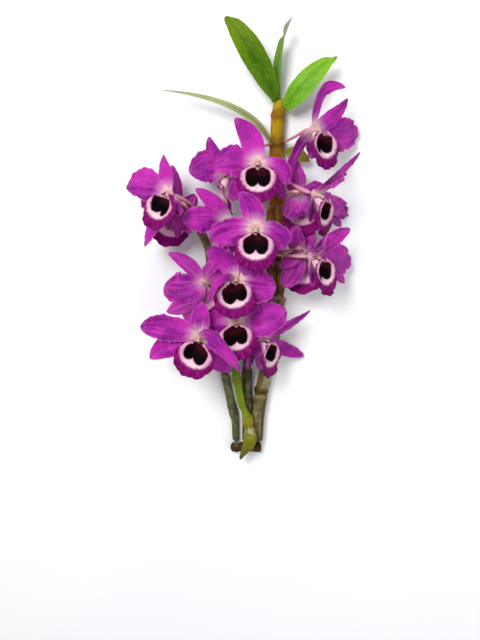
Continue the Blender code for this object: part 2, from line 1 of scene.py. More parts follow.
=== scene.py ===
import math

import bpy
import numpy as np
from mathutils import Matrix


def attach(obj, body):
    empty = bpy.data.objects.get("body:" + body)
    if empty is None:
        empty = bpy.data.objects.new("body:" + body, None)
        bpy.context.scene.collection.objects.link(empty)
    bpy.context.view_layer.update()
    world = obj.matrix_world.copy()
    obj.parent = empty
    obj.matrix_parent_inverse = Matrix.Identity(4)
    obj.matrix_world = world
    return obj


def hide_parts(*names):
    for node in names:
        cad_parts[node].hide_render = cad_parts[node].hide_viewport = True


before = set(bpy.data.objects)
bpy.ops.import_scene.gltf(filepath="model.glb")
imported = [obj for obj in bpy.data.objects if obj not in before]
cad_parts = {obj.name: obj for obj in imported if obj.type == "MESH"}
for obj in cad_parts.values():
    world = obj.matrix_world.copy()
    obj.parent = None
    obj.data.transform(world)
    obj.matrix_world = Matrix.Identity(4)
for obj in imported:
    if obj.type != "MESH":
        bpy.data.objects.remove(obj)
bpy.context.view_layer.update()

# %% [markdown]
# # A cut stem of dendrobium orchid
# The imported model is loaded above as a fixed frame. It gives every cane, leaf and bloom its place,
# and this lesson lays finer surfaces over it: waved petals, funnel lips, jointed canes with their
# papery sheaths.

print("frame:", len(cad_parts), "nodes")

# %% [markdown]
# Orchid lengths are small, so the tables below are in millimetres of a layout that is drawn from
# the foot of the canes. One point of that layout is the object's origin, which is at the middle
# of the underside of its box. Colours are written as hex, as a paint program shows them, and
# one function turns them to the linear light that the shaders reckon in.

# %% units and colours
MM = 0.001
LAYOUT_ORIGIN = np.array([1.31, 195.14, 0.0])


def linear(hex_colour):
    """sRGB hex to linear RGBA: c/12.92 under 0.04045, else ((c + 0.055)/1.055) to the power 2.4."""
    c = np.array([int(hex_colour[i:i + 2], 16) for i in (0, 2, 4)]) / 255.0
    c = np.where(c <= 0.04045, c / 12.92, ((c + 0.055) / 1.055) ** 2.4)
    return (*c.tolist(), 1.0)


print("magenta in linear light:", [round(c, 3) for c in linear("B01AA8")])

# %% [markdown]
# ## Camera
# The photograph looks at the blooms from in front and a little above the middle of the stem, with a
# camera that is pitched by 10.6 degrees. The stem here lies on its back, so the same view is
# straight down with that small pitch. The lens follows from the width of a pixel: 748 pixels of
# focal length on a 640 pixel side.

# %% camera
PHOTO_HEIGHT = 640.0
FOCAL_PIXELS = 748.0
# The line at the camera's own height is this far above the middle of the picture
LEVEL_PIXELS = 140.0
PITCH = math.atan(LEVEL_PIXELS / FOCAL_PIXELS)
SENSOR = 36.0
CAMERA_PLACE = np.array([-2.9, 258.35, 687.0])


def new_object(name, data):
    """An object that carries this data, in the scene."""
    thing = bpy.data.objects.new(name, data)
    bpy.context.scene.collection.objects.link(thing)
    return thing


lens = bpy.data.cameras.new("camera")
lens.sensor_width = SENSOR
lens.lens = FOCAL_PIXELS * SENSOR / PHOTO_HEIGHT
lens.clip_start = 0.01
camera = new_object("camera", lens)
camera.location = (CAMERA_PLACE - LAYOUT_ORIGIN) * MM
camera.rotation_euler = (-PITCH, 0.0, 0.0)
bpy.context.scene.camera = camera
print("lens", round(lens.lens, 2), "mm, pitched", round(math.degrees(PITCH), 1), "degrees")

# %% [markdown]
# ## Light
# Petals look like velvet under a broad soft light. A large square lamp from the upper left gives the
# form, a weaker one from the right opens the shadows, and a pale sky fills the rest. The
# plain transform keeps the magenta as strong as it is in the photograph.

# %% lamps and sky
STEM_MIDDLE = np.array([0.0, 0.02, 0.03])


def unit(vectors):
    """Vectors divided by their own lengths."""
    vectors = np.asarray(vectors, float)
    return vectors / np.linalg.norm(vectors, axis=-1, keepdims=True)


def add_lamp(name, place, size, watts):
    """A square lamp that looks at the middle of the stem."""
    lamp = bpy.data.lights.new(name, "AREA")
    lamp.size = size
    lamp.energy = watts
    thing = new_object(name, lamp)
    thing.location = place
    aim = unit(STEM_MIDDLE - np.array(place))
    thing.rotation_euler = (math.acos(-aim[2]), 0.0, math.atan2(aim[0], -aim[1]) + math.pi)


add_lamp("key_lamp", (-0.38, 0.48, 1.02), 0.45, 12.0)
add_lamp("fill_lamp", (0.75, -0.25, 0.80), 0.9, 4.0)
sky = bpy.data.worlds.new("studio")
sky.use_nodes = True
sky.node_tree.nodes["Background"].inputs["Color"].default_value = linear("F4F6FA")
sky.node_tree.nodes["Background"].inputs["Strength"].default_value = 0.46
bpy.context.scene.world = sky
bpy.context.scene.view_settings.view_transform = "Standard"

# %% [markdown]
# ## The blooms' table
# A bloom is where its hub is, which way it faces and which way its top points. Its five tepals
# follow: the dorsal sepal, the two broad petals and the two lower sepals. Each is a direction in
# plan, a reach and a rise, and where it differs from its kind also a width, a sideways bend and
# whatever else is its own. The seat is the cane, the height on it, the side, and how far the stalk
# bows out at either end. Blooms 13 to 16 look away and show their backs, as some on a real cane do.
# A kind of blade is its outline, its waves and how fine its grid is.

# %% the blooms' table
SEPAL = {"width": 15.5, "claw": 0.46, "broadest": 0.42, "round": 0.58, "arch": 1.0, "cup": 0.10,
         "wave": 0.5, "waves": 1.2, "ruffle": 0.22, "wander": 0.024, "fold": 0.5, "grid": (42, 21)}
LATERAL = {**SEPAL, "arch": -0.5, "cup": 0.06}
PETAL = {"width": 24.0, "claw": 0.30, "broadest": 0.54, "round": 0.52, "arch": 2.5, "cup": 0.10,
         "wave": 1.5, "waves": 1.6, "ruffle": 0.9, "wander": 0.058, "fold": 1.05, "grid": (60, 33)}
TEPAL_KINDS = (SEPAL, PETAL, PETAL, LATERAL, LATERAL)
BLOOMS = {
    "01": {"hub": (-62, 247, 50), "face": (-0.55, 0.2, 0.8), "top": (-0.2, 1, 0),
           "tepals": [(98, 32, 2, 14.7), (171, 37, -8, 26.6, 4), (-60, 20, 14, 10, 0, {"arch": 0}),
                      (-117, 50, -6, 16.9, 1), (-63, 38, -10, 14.9, 4)],
           "seat": ("left", 222, (0.77, 0.64), (24, 20))},
    "02": {"hub": (12, 272, 44), "face": (0, 0.05, 1), "top": (0, 1, 0),
           "tepals": [(118, 41, 4, 19, 4), (182, 36, 2, 25.9, 2.2), (-36, 30, 2, 21.7, -4),
                      (-124, 38, -6, 19, 2.4), (-51, 38, -10, 15.4, -0.7)],
           "seat": ("leafy", 289, (-0.72, 0.7), (18, 18))},
    "03": {"hub": (58, 300, 40), "face": (0.7, 0, 0.7), "top": (0, 1, 0),
           "tepals": [(52, 42, 6, 12, 0, {"via": [(2, 30, 8), (9, 38, 10)]}),
                      (-95, 23, 5, 20.8, -2, {"arch": 0}), (-1, 43, -34, 29.1, 2.6),
                      (-119, 43, -2, 12.9, 4), (41, 40, -10, 14.3, 4)],
           "seat": ("leafy", 292, (0.87, 0.5), (6, 6))},
    "04": {"hub": (60, 247, 46), "face": (0.85, -0.2, 0.48), "top": (0.1, 1, 0),
           "tepals": [(42, 51, -2, 11.7, 1.3), (38, 27, 20, 21.2, 4), (-31, 40, -45, 17.3, -0.7),
                      (-99, 24, 2, 15.5, 0, {"arch": 0}), (-47, 41, -39, 16.7, -2.2)],
           "seat": ("leafy", 263, (-0.01, 1), (12, 20))},
    "05": {"hub": (58, 194, 48), "face": (0.8, 0.05, 0.6), "top": (0, 1, 0),
           "tepals": [(36, 40, 2, 18.5, -3.3), (60, 22, 18, 16), (-10, 40, -40, 29.5, 0.4),
                      (-88, 25, 6, 11, 0, {"arch": 0}), (-39, 42, -26, 17.4, -4)],
           "seat": ("leafy", 194, (-0.26, 0.97), (14, 20))},
    "06": {"hub": (10, 219, 60), "face": (0, -0.1, 1), "top": (0, 1, 0),
           "tepals": [(115, 32, 4, 19, 4), (-163, 39, -4, 23.6, 4), (-34, 30, -2, 23.4, -4),
                      (-104, 41, -6, 17.1, -0.7), (-65, 35, -10)],
           "seat": ("leafy", 244, (-0.6, 0.8), (18, 18))},
    "07": {"hub": (-6, 175, 50), "face": (-0.05, 0.1, 1), "top": (0.05, 1, 0),
           "tepals": [(78, 30, -6, 13.1), (134, 36, 8, 19.2, 4), (-9, 34, 2, 29.7, 3.2),
                      (-143, 30, 22, 6.7, 0, {"via": [(-6, 6, 14), (-17, 7, 36)]}),
                      (-56, 33, -8, 19, 4)],
           "seat": ("leafy", 193, (-0.87, 0.5), (24, 14))},
    "08": {"hub": (-6, 137, 44), "face": (-0.05, 0.1, 1), "top": (0, 1, 0),
           "tepals": [(77, 27, -10), (-171, 27, -4), (14, 44, 0, 30, 4), (-107, 35, -6, 15.9),
                      (-55, 37, 6, 17.6)],
           "seat": ("young", 124, (0, 1), (14, 6))},
    "09": {"hub": (-38, 125, 54), "face": (-0.05, -0.05, 1), "top": (0.2, 1, 0),
           "tepals": [(82, 31, 2, 17.5, -1.6), (170, 51, 2, 24.3, 4),
                      (-37, 44, 16, 14.2, 0, {"via": [(6, 6, 14), (14, 9, 34)]}),
                      (-155, 48, -4, 23, 4), (-50, 43, -10, 19, 4)],
           "seat": ("left", 122, (0.1, 0.99), (12, 12))},
    "10": {"hub": (15, 121, 36), "face": (0.85, -0.15, 0.5), "top": (0.15, 1, 0),
           "tepals": [(29, 50, 2, 15.6, 1.6), (110, 22, -4, 18),
                      (-31, 48, -34, 12.8, 0.9, {"arch": 0}), (-107, 33, -10, 19, 4),
                      (-84, 33, -18, 18.9, 3.3)],
           "seat": ("leafy", 134, (-0.87, 0.5), (24, 20))},
    "11": {"hub": (-12, 265, 30), "face": (-0.85, -0.5, 0.1), "top": (-0.5, 0.85, 0),
           "tepals": [(120, 34, 2, 13, -3.8, {"face": (-0.2, 0.2, 1)}),
                      (181, 34, 4, 28.6, 4, {"face": (-0.2, 0.2, 1)}), (-170, 7, -29, 14.5, -3.2),
                      (-62, 24, -10, 12), (-30, 28, -12, 12)],
           "seat": ("leafy", 267, (-0.5, 0.87), (12, 20))},
    "12": {"hub": (-13, 222, 38), "face": (-0.8, -0.4, 0.3), "top": (-0.3, 0.95, 0),
           "tepals": [(134, 40, 4, 14.3, 3, {"face": (-0.2, 0.2, 1)}),
                      (175, 39, 11, 22.7, 1.5, {"face": (-0.2, 0.2, 1)}), (150, 8, -26, 16),
                      (-85, 30, -16), (-50, 33, -10)],
           "seat": ("leafy", 215, (-0.8, 0.6), (18, 18))},
    "13": {"hub": (-35, 171, 40), "face": (0, -0.25, -0.97), "top": (0.15, 1, 0),
           "tepals": [(139, 39, 4, 13, -3.3), (184, 33, 8, 30, 4), (44, 28, -12, 22.8, -0.5),
                      (-141, 41, 4, 19, 4), (-110, 38, 4, 18.3, -4)],
           "seat": ("left", 160, (0.5, 0.87), (24, 20))},
    "14": {"hub": (-57, 236, 32), "face": (-0.35, -0.3, -0.88), "top": (0.3, 0.95, 0),
           "tepals": [(97, 35, -6, 19, 2.3), (-180, 30, 10, 20.2, -4), (38, 17, -8, 14.9, -4),
                      (-150, 28, 8, 13), (-90, 27, 8, 10)],
           "seat": ("left", 222, (0, 1), (24, 20))},
    "15": {"hub": (49, 246, 32), "face": (0.2, -0.25, -0.95), "top": (-0.1, 1, 0),
           "tepals": [(95, 29, -2, 18.6, 3.3), (-121, 23, 6, 18), (20, 23, -2, 17.9, -1.1),
                      (-139, 20, 0, 10.3, 0.6), (-53, 28, 4, 12)],
           "seat": ("leafy", 246, (0.16, 0.99), (18, 18))},
    "16": {"hub": (52, 196, 32), "face": (0.2, -0.45, -0.87), "top": (0, 1, 0),
           "tepals": [(101, 24, 3, 16.7, 3.8), (-120, 33, 12, 19.4, 0.5), (51, 20, -7, 16, 4),
                      (-148, 24, 6, 13.5), (-10, 28, -5, 15.5, 0.6)],
           "seat": ("leafy", 195, (0.41, 0.91), (18, 18))},
}
print("blooms:", len(BLOOMS), "with", len(TEPAL_KINDS), "tepals each")

# %% [markdown]
# ## Surfaces on a grid
# Every shape here is a grid of points: rows go along it, columns go across or round it. A blade
# needs a thickness, so its grid is moved half of it each way along the normal, and a rim of faces
# joins the two, which leaves one closed skin. With each point go its marks, the measures that the
# materials read.

# %% blades as closed skins
def cell_faces(rows, columns, wrap=False):
    """The four corners of each cell of a grid, turned so that along x across points outwards."""
    row, column = np.meshgrid(np.arange(rows - 1), np.arange(columns if wrap else columns - 1),
                              indexing="ij")
    here = row * columns + column
    after = row * columns + (column + 1) % columns
    return np.stack([here, here + columns, after + columns, after], -1).reshape(-1, 4)


def blade_skin(surface, thickness, marks):
    """A grid given a thickness, itself a grid: front, back and rim, with measures for the shader."""
    rows, columns = surface.shape[:2]
    normal = unit(np.cross(np.gradient(surface, axis=0), np.gradient(surface, axis=1)))
    offset = normal * (thickness / 2)[..., None]
    count = rows * columns
    front = cell_faces(rows, columns)
    index = np.arange(count).reshape(rows, columns)
    rim = np.concatenate([index[0], index[1:, -1], index[-1, -2::-1], index[-2:0:-1, 0]])
    ahead = np.roll(rim, -1)
    edge = np.stack([rim, ahead, ahead + count, rim + count], -1)
    points = np.concatenate([(surface + offset).reshape(-1, 3), (surface - offset).reshape(-1, 3)])
    values = {name: np.tile(np.broadcast_to(value, (rows, columns)).ravel(), 2)
              for name, value in marks.items()}
    values["front"] = np.repeat([1.0, 0.0], count)
    return {"points": points, "quads": np.concatenate([front, front[:, ::-1] + count, edge]),
            "tips": np.zeros((0, 3), int), "marks": values}


print("one cell of a 2 x 2 grid:", cell_faces(2, 2).tolist())

# %% [markdown]
# ## A blade
# Tepals and leaves are the same kind of surface. The midrib is a Bezier curve, the half width swells
# as a power of a sine, and the section is cupped towards the face. A petal is never a plain
# ellipse: its margin waves, and its outline wanders a little, so those are terms of the formula.

# %% midrib and outline
def bezier(points, share):
    """Points of a Bezier curve: each pair of control points gives the one at this share between them."""
    share = np.asarray(share, float)[:, None]
    control = [np.asarray(p, float) for p in points]
    while len(control) > 1:
        control = [a * (1 - share) + b * share for a, b in zip(control, control[1:])]
    return control[0]


def half_width(kind, width, share):
    """width/2 (sin(pi share^p))^round, with p set so that the broadest place is where it should be.

    It is never under the claw, which narrows away from the root, nor under a blunt tip's 0.035.
    """
    power = math.log(0.5) / math.log(kind["broadest"])
    swell = np.maximum(np.sin(math.pi * np.clip(share, 0, 1) ** power), 0.0) ** kind["round"]
    return width / 2 * np.maximum(np.maximum(swell, kind["claw"] * (1 - share) ** 3), 0.035)


print("a petal's half width at its broadest:",
      float(half_width(PETAL, PETAL["width"], np.array(PETAL["broadest"]))), "mm")

# %% [markdown]
# The blade itself is the midrib, carried sideways by the half width and lifted by all that bends it:
# the cup, the waves of its margin, the crease along its middle and a few soft folds. Each is a term
# of one sum, so each can be made stronger or left out by a value in the table of kinds.

# %% the blade formula
# The length in which the waves of a margin are reckoned, and the depth of a midrib's groove
WAVE_LENGTH = 40.0
CREASE = 0.9


def eased(low, high, values):
    """0 below low, 1 above high, and the smooth cubic 3t2 - 2t3 between them."""
    t = np.clip((np.asarray(values, float) - low) / (high - low), 0.0, 1.0)
    return t * t * (3.0 - 2.0 * t)


def blade(midrib, facing, width, kind, seed, twist=0.0, phase=0.0):
    """midrib(s) + side h(s) a + normal lift(s, a); s goes along, a across from -1 to 1.

    h is the half width, and lift = cup h a2 + waves |a|^1.5 + ruffles a4 - crease e^-(6a)2 + folds.
    The outline wanders and the margin ruffles by a few sines of run, the distance in WAVE_LENGTH,
    with a different start on either side. The folds are sines of a whose phase drifts with s.
    """
    rows, columns = kind["grid"]
    share = 1.0 - (1.0 - np.linspace(0.0, 1.0, rows)) ** 1.35
    across = np.sin(np.linspace(-1.0, 1.0, columns) * math.pi / 2)
    spine = bezier(midrib, share)
    ahead = bezier(midrib, np.clip(share + 1e-3, 0, 1)) - bezier(midrib, np.clip(share - 1e-3, 0, 1))
    tangent = unit(ahead)
    facing = np.asarray(facing, float)
    normal = unit(facing - (tangent @ facing)[:, None] * tangent)
    side = np.cross(tangent, normal)
    turn = np.radians(twist) * share[:, None]
    side, normal = (side * np.cos(turn) + normal * np.sin(turn),
                    normal * np.cos(turn) - side * np.sin(turn))
    s, a = share[:, None], across[None, :]
    half = half_width(kind, width, share)[:, None]
    edge = seed + 2.1 * np.sign(a)
    run = s * np.linalg.norm(spine[-1] - spine[0]) / WAVE_LENGTH
    half = half * (1 + kind["wander"] * np.abs(a) ** 2 * eased(0.12, 0.4, s) * (
        np.sin(9.0 * run + edge) + 0.6 * np.sin(21.0 * run + 1.7 * edge)
        + 0.5 * np.sin(49.0 * run + 2.3 * edge)))
    wave = kind["wave"] * np.sin(2 * math.pi * (kind["waves"] * s + phase + 0.17 * np.sign(a)))
    lift = kind["cup"] * half * a ** 2 + wave * np.abs(a) ** 1.5 * np.sin(math.pi * s) ** 0.5
    lift = lift + kind["ruffle"] * a ** 4 * eased(0.15, 0.5, s) * (
        np.sin(31.0 * run + edge) + 0.7 * np.sin(53.0 * run + 2 * edge))
    lift = lift - CREASE * np.exp(-(6.0 * a) ** 2) * np.sin(math.pi * np.clip(s, 0, 1)) ** 0.5
    drift = seed + 1.6 * np.sin(2.4 * s + seed)
    lift = lift + kind["fold"] * eased(0.1, 0.45, s) * (
        np.sin(4.6 * a + drift) + 0.5 * np.sin(9.5 * a - 2 * drift))
    surface = spine[:, None] + side[:, None] * (half * a)[..., None] + normal[:, None] * lift[..., None]
    # The columns are turned round, so that the front of the grid is the side that the blade faces
    return surface[:, ::-1], s, a[:, ::-1]


trial = blade([(0, 0, 0), (15, 0, 3), (30, 0, 0)], (0, 0, 1), 24.0, PETAL, 0.0)[0]
print("a trial petal spans", np.ptp(trial.reshape(-1, 3), axis=0).round(1), "mm")

# %% [markdown]
# ## The bloom's five tepals
# On the real flower they are thin, satin on the face and pale at the root, where they meet
# the hub. They are grown one by one from the table, and those of one bloom make one piece.

# %% tepals of a bloom
HUB_RADIUS = 3.6
TEPAL_ROOT = 0.3
TEPAL_EDGE = 0.22
TEPAL_MIDDLE = 1.0
# One source of random numbers with a fixed start, so that every run grows the same flowers
draws = np.random.default_rng(16)


def bloom_axes(bloom):
    """A bloom's hub, the way it faces, the way its top points, and its right side, all square."""
    face = unit(bloom["face"])
    top = np.asarray(bloom["top"], float)
    top = unit(top - (top @ face) * face)
    return np.asarray(bloom["hub"], float), face, top, np.cross(top, face)


def tepal_skin(bloom, index):
    """One tepal: a blade from inside the hub to its tip, thick in the middle and thin at the edge."""
    kind = TEPAL_KINDS[index]
    hub, face = bloom_axes(bloom)[:2]
    row = bloom["tepals"][index]
    # What a row leaves out is as its kind has it: the width, no bend, and nothing of its own
    angle, reach, rise, width, bend, own = row + (kind["width"], 0.0, {})[len(row) - 3:]
    angle = math.radians(angle)
    tip = hub + (reach * math.cos(angle), reach * math.sin(angle), rise)
    outward = unit(tip - hub)
    root = hub + outward * HUB_RADIUS * TEPAL_ROOT
    facing = own.get("face", face)
    arch_way = unit(facing - (np.asarray(facing, float) @ outward) * outward)
    sideways = np.cross(outward, arch_way) * bend
    middle = [(root + tip) / 2 + (arch_way * own.get("arch", kind["arch"]) + sideways) * 2]
    if "via" in own:
        middle = [hub + offset for offset in own["via"]]
    surface, s, a = blade([root, *middle, tip], facing, width, kind, draws.uniform(0, 6),
                          phase=0.13 * index)
    thickness = TEPAL_EDGE + (TEPAL_MIDDLE - TEPAL_EDGE) * (1 - a ** 2) * (1 - eased(0.5, 1.0, s))
    from_hub = np.linalg.norm(surface - hub, axis=-1)
    return blade_skin(surface, thickness, {"along": s, "across": a, "from_hub": from_hub,
                                           "lot": draws.uniform(0, 9)})


print("a tepal is", TEPAL_MIDDLE, "mm thick in the middle and", TEPAL_EDGE, "mm at its edge")

# %% [markdown]
# ### From grids to meshes
# A piece is one mesh. Its points go from millimetres of the layout to metres round the object's
# origin, and its marks go with them as attributes, which a shader reads by their names. Then the
# piece is told what it rides on, which finish it stands for, and which parts of the frame it takes
# the place of.

# %% meshes that ride on the stem
def mesh_object(name, points, faces, material):
    """An object in the scene whose mesh has these points, in metres, and faces, in one material."""
    mesh = bpy.data.meshes.new(name)
    mesh.from_pydata(points, [], faces)
    mesh.materials.append(material)
    return new_object(name, mesh)


def place_piece(name, skin, material, nodes=()):
    """A skin in millimetres of the layout becomes a mesh in metres that rides on the stem."""
    thing = mesh_object(name, ((skin["points"] - LAYOUT_ORIGIN) * MM).tolist(),
                        skin["quads"].tolist() + skin["tips"].tolist(), material)
    for mark_name, values in skin["marks"].items():
        layer = thing.data.attributes.new(mark_name, "FLOAT", "POINT")
        layer.data.foreach_set("value", values.astype(np.float32))
    thing.data.shade_smooth()
    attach(thing, "root")
    if nodes:
        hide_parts(*nodes)


def together(skins):
    """Several closed skins as one, each counted on from the points of those before it."""
    starts = np.cumsum([0] + [len(s["points"]) for s in skins[:-1]])
    return {"points": np.concatenate([s["points"] for s in skins]),
            "quads": np.concatenate([s["quads"] + start for s, start in zip(skins, starts)]),
            "tips": np.concatenate([s["tips"] + start for s, start in zip(skins, starts)]),
            "marks": {name: np.concatenate([s["marks"][name] for s in skins])
                      for name in skins[0]["marks"]}}


print("the layout's origin in metres:", (LAYOUT_ORIGIN * MM).round(4).tolist())

# %% [markdown]
# ### Nodes
# A finish is a tree of nodes, patterns and mixes that end in one shader. It can be built by hand in
# the shader editor. Here one small function adds a node, sets what it is told and links what feeds
# it, so that a finish reads as a short list instead of a page of links.

# %% adding a node
def add_node(tree, kind, inputs=None, **settings):
    """A shader node of a kind: settings are its own properties, inputs fill its sockets.

    An input is a plain value, or a link: a node, whose first output is used, a node and one of its
    outputs, or the name of a measure that the mesh carries.
    """
    node = tree.nodes.new("ShaderNode" + kind)
    for name, value in settings.items():
        setattr(node, name, value)
    for socket, value in (inputs or {}).items():
        if isinstance(value, str):
            value = (add_node(tree, "Attribute", attribute_name=value), "Fac")
        elif isinstance(value, bpy.types.Node):
            value = (value, 0)
        if isinstance(value, tuple) and isinstance(value[0], bpy.types.Node):
            tree.links.new(value[0].outputs[value[1]], node.inputs[socket])
        else:
            node.inputs[socket].default_value = value
    return node


def new_material(name, roughness, **constants):
    """A material with a Principled shader, and its tree. Constants are set on the shader's sockets."""
    material = bpy.data.materials.new(name)
    material.use_nodes = True
    shader = material.node_tree.nodes["Principled BSDF"]
    shader.inputs["Roughness"].default_value = roughness
    for socket, value in constants.items():
        shader.inputs[socket.replace("_", " ").title().replace("Ior", "IOR")].default_value = value
    return material, material.node_tree


print("materials so far:", len(bpy.data.materials))

# %% [markdown]
# ### Patterns and coats
# A finish is painted in layers, as a botanical painter works: a ground, then thin coats, each laid only
# where some measure says. A measure is a noise pattern, or a value that the mesh itself carries at each
# point, such as how far along a petal it lies. So a coat is a row of a table here: its colour, how
# strong it is, and the smooth steps that limit it.

# %% patterns and coats
def clouds(tree, size_mm, detail=2.0):
    """Noise on Object coordinates, whose blotches are about size_mm across."""
    return add_node(tree, "TexNoise", {"Vector": (add_node(tree, "TexCoord"), "Object"),
                                       "Scale": 1.0 / (size_mm * MM), "Detail": detail})


def streaks(tree, detail, *axes):
    """Noise on a piece's own measures: each axis is a measure, and its blotches to one unit of it."""
    place = add_node(tree, "CombineXYZ", {
        axis: add_node(tree, "Math", {0: measure, 1: scale}, operation="MULTIPLY")
        for axis, (measure, scale) in zip("XYZ", axes)})
    return add_node(tree, "TexNoise", {"Vector": place, "Scale": 1.0, "Detail": detail})


def lengthwise(tree, lines, run):
    """Streaks along a blade or tube: about that many lines over its half width, run of them long."""
    return streaks(tree, 2.0, ("across", lines), ("along", run), ("lot", 1.0))


def limited(tree, share, *steps):
    """share times a smooth step for each measure, which rises from 0 at its low to 1 at its high."""
    for measure, low, high in steps:
        step = add_node(tree, "MapRange", {"Value": measure, "From Min": low, "From Max": high},
                        interpolation_type="SMOOTHSTEP")
        share = add_node(tree, "Math", {0: step, 1: share}, operation="MULTIPLY")
    return share


def painted(tree, ground, *coats):
    """Each coat laid over the last: its colour, a hex or a node, its strength, and its steps."""
    colour = linear(ground) if isinstance(ground, str) else ground
    for paint, share, *steps in coats:
        colour = (add_node(tree, "Mix", {
            "Factor": limited(tree, share, *steps), 6: colour,
            7: linear(paint) if isinstance(paint, str) else paint}, data_type="RGBA"), 2)
    return colour


def finished(material, colour, *bumps):
    """Links the colour to the shader, and bumps, the finest first: a pattern, its strength, its mm."""
    tree = material.node_tree
    shader = tree.nodes["Principled BSDF"]
    tree.links.new(colour[0].outputs[colour[1]], shader.inputs["Base Color"])
    below = {}
    for height, strength, depth in bumps:
        below = {"Normal": add_node(tree, "Bump", {"Height": height, "Strength": strength,
                                                   "Distance": depth * MM, **below})}
    if bumps:
        tree.links.new(below["Normal"].outputs[0], shader.inputs["Normal"])
    return material


print("clouds 20 mm across have a scale of", round(1.0 / (20.0 * MM), 1))

# %% [markdown]
# ### What a tepal is made of
# The face is a layer of tiny domed cells filled with purple sap, which is why it looks like satin
# velvet: strong colour, a soft sheen, and a little light through it. The colour thins out to
# almost white near the hub. Veins run lengthwise and converge at both ends, so their pattern is
# drawn in the blade's own measures, stretched along it.

# %% tepal tissue
def tepal_tissue():
    """Satin magenta tissue, pale at the root of its face, with lengthwise veins and a light margin.

    The domed cells of real tissue are about 0.05 mm across. They are too fine to show, so their
    glitter is painted into the colour as lighter specks 1.2 mm across, painted glints, and their bump
    is drawn at 0.5 mm. Veins are 1 to 2 mm apart, as on the flower.
    """
    material, tree = new_material("tepal_tissue", 0.50, sheen_weight=0.06, sheen_roughness=0.45,
                                  subsurface_weight=0.10, subsurface_scale=0.002,
                                  specular_ior_level=0.13)
    veins = lengthwise(tree, 9.0, 0.9)
    fine_veins = lengthwise(tree, 17.0, 1.3)
    wide_veins = lengthwise(tree, 7.0, 1.0)
    # The pale star reaches up to 7 mm further along a bright vein, and 4 mm further on the face
    reach = add_node(tree, "Math", {0: wide_veins, 1: -7.0, 2: "from_hub"}, operation="MULTIPLY_ADD")
    reach = add_node(tree, "Math", {0: "front", 1: -4.0, 2: reach}, operation="MULTIPLY_ADD")
    aside = add_node(tree, "Math", {0: "across"}, operation="ABSOLUTE")
    colour = painted(tree, "7C087E",
                     ("B422A0", 1.0, (clouds(tree, 20.0), 0.32, 0.66)),
                     ("BE40B0", 0.40, (veins, 0.50, 0.74)),
                     # Painted glints: lighter specks 1.2 mm across stand for light sparkling off the domed
                     # cells
                     ("D058C0", 0.30, (clouds(tree, 1.2), 0.52, 0.70)),
                     ("6E0562", 0.50, (fine_veins, 0.54, 0.72)),
                     ("D096BC", 0.72, (reach, 8.5, -1.5)),
                     ("DCC0B2", 0.80, (reach, 2.0, -2.5)),
                     ("CA64B4", 0.50, (aside, 0.88, 1.0)),
                     ("C65AB8", 0.35, ("along", 0.82, 1.0)),
                     ("B44AA0", 0.60, ("front", 0.6, 0.4), (wide_veins, 0.40, 0.62)))
    return finished(material, colour, (clouds(tree, 0.5, 1.0), 0.12, 0.2), (veins, 0.45, 0.6))


TEPAL_TISSUE = tepal_tissue()
for number, bloom in BLOOMS.items():
    skins = [tepal_skin(bloom, index) for index in range(len(TEPAL_KINDS))]
    place_piece(f"petals_{number}", together(skins), TEPAL_TISSUE,
                [f"bloom_{number}_tepals"])
print("tepals placed:", len(TEPAL_KINDS) * len(BLOOMS))

# %% [markdown]
# ## Curves through a table
# Lips, columns, stalks and canes all take their width from a table of a few rows. Straight lines
# between the rows would leave corners, and a plain spline swells past them. So the curve here is a
# cubic whose slopes are limited at each row.

# %% smooth curves through table rows
def smooth_table(places, known, values):
    """A curve through table rows that never overshoots: cubic, with slopes limited at each row."""
    known, values = np.asarray(known, float), np.asarray(values, float)
    step = np.diff(known)
    rise = np.diff(values) / step
    product = rise[:-1] * rise[1:]
    total = rise[:-1] + rise[1:]
    inner = np.where(product > 0, 2 * product / np.where(total == 0, 1, total), 0)
    slope = np.concatenate([rise[:1], inner, rise[-1:]])
    cell = np.clip(np.searchsorted(known, places, side="right") - 1, 0, len(step) - 1)
    t = (places - known[cell]) / step[cell]
    return (values[cell] * (1 + 2 * t) * (1 - t) ** 2 + slope[cell] * step[cell] * t * (1 - t) ** 2
            + values[cell + 1] * t * t * (3 - 2 * t) - slope[cell + 1] * step[cell] * t * t * (1 - t))


def table_curves(places, known, rows, columns):
    """The smooth curves through some columns of a table, at the same places."""
    rows = np.array(rows, float)
    return [smooth_table(places, rows[:, known], rows[:, column]) for column in columns]


print("halfway up a smooth step:", float(smooth_table(0.5, [0, 1], [0, 1])))

# %% [markdown]
# ## The lip
# The lip is the petal that an orchid turns into a landing stage. Here it is a velvet funnel, open along
# its top, with a finely ruffled margin. The grid runs from its foot to its margin, and from one edge
# round the underside to the other. Each ring is a share of the way, a depth, a drop below the hub, a
# radius, and how far it reaches round to either side, in degrees.

# %% lip surface
LIP_RINGS = [
    (0.00, 1.8, 4.1, 1.6, 95.0),
    (0.20, 4.6, 5.6, 5.2, 118.0),
    (0.42, 9.0, 8.4, 8.6, 140.0),
    (0.62, 13.6, 11.3, 10.6, 152.0),
    (0.80, 16.4, 12.6, 14.4, 160.0),
    (1.00, 16.4, 13.6, 18.2, 166.0),
]
# Towards its open top the margin draws in by this share of the radius and leans back this far
LIP_NARROWING = 0.34
LIP_LEAN = 5.0
# The margin's lowest line reaches out this far, and its slow waves are so deep and so many
LIP_POINT = 1.2
LIP_WAVE = 0.8
LIP_WAVES = 5.0
LIP_ROWS = 42
LIP_COLUMNS = 97


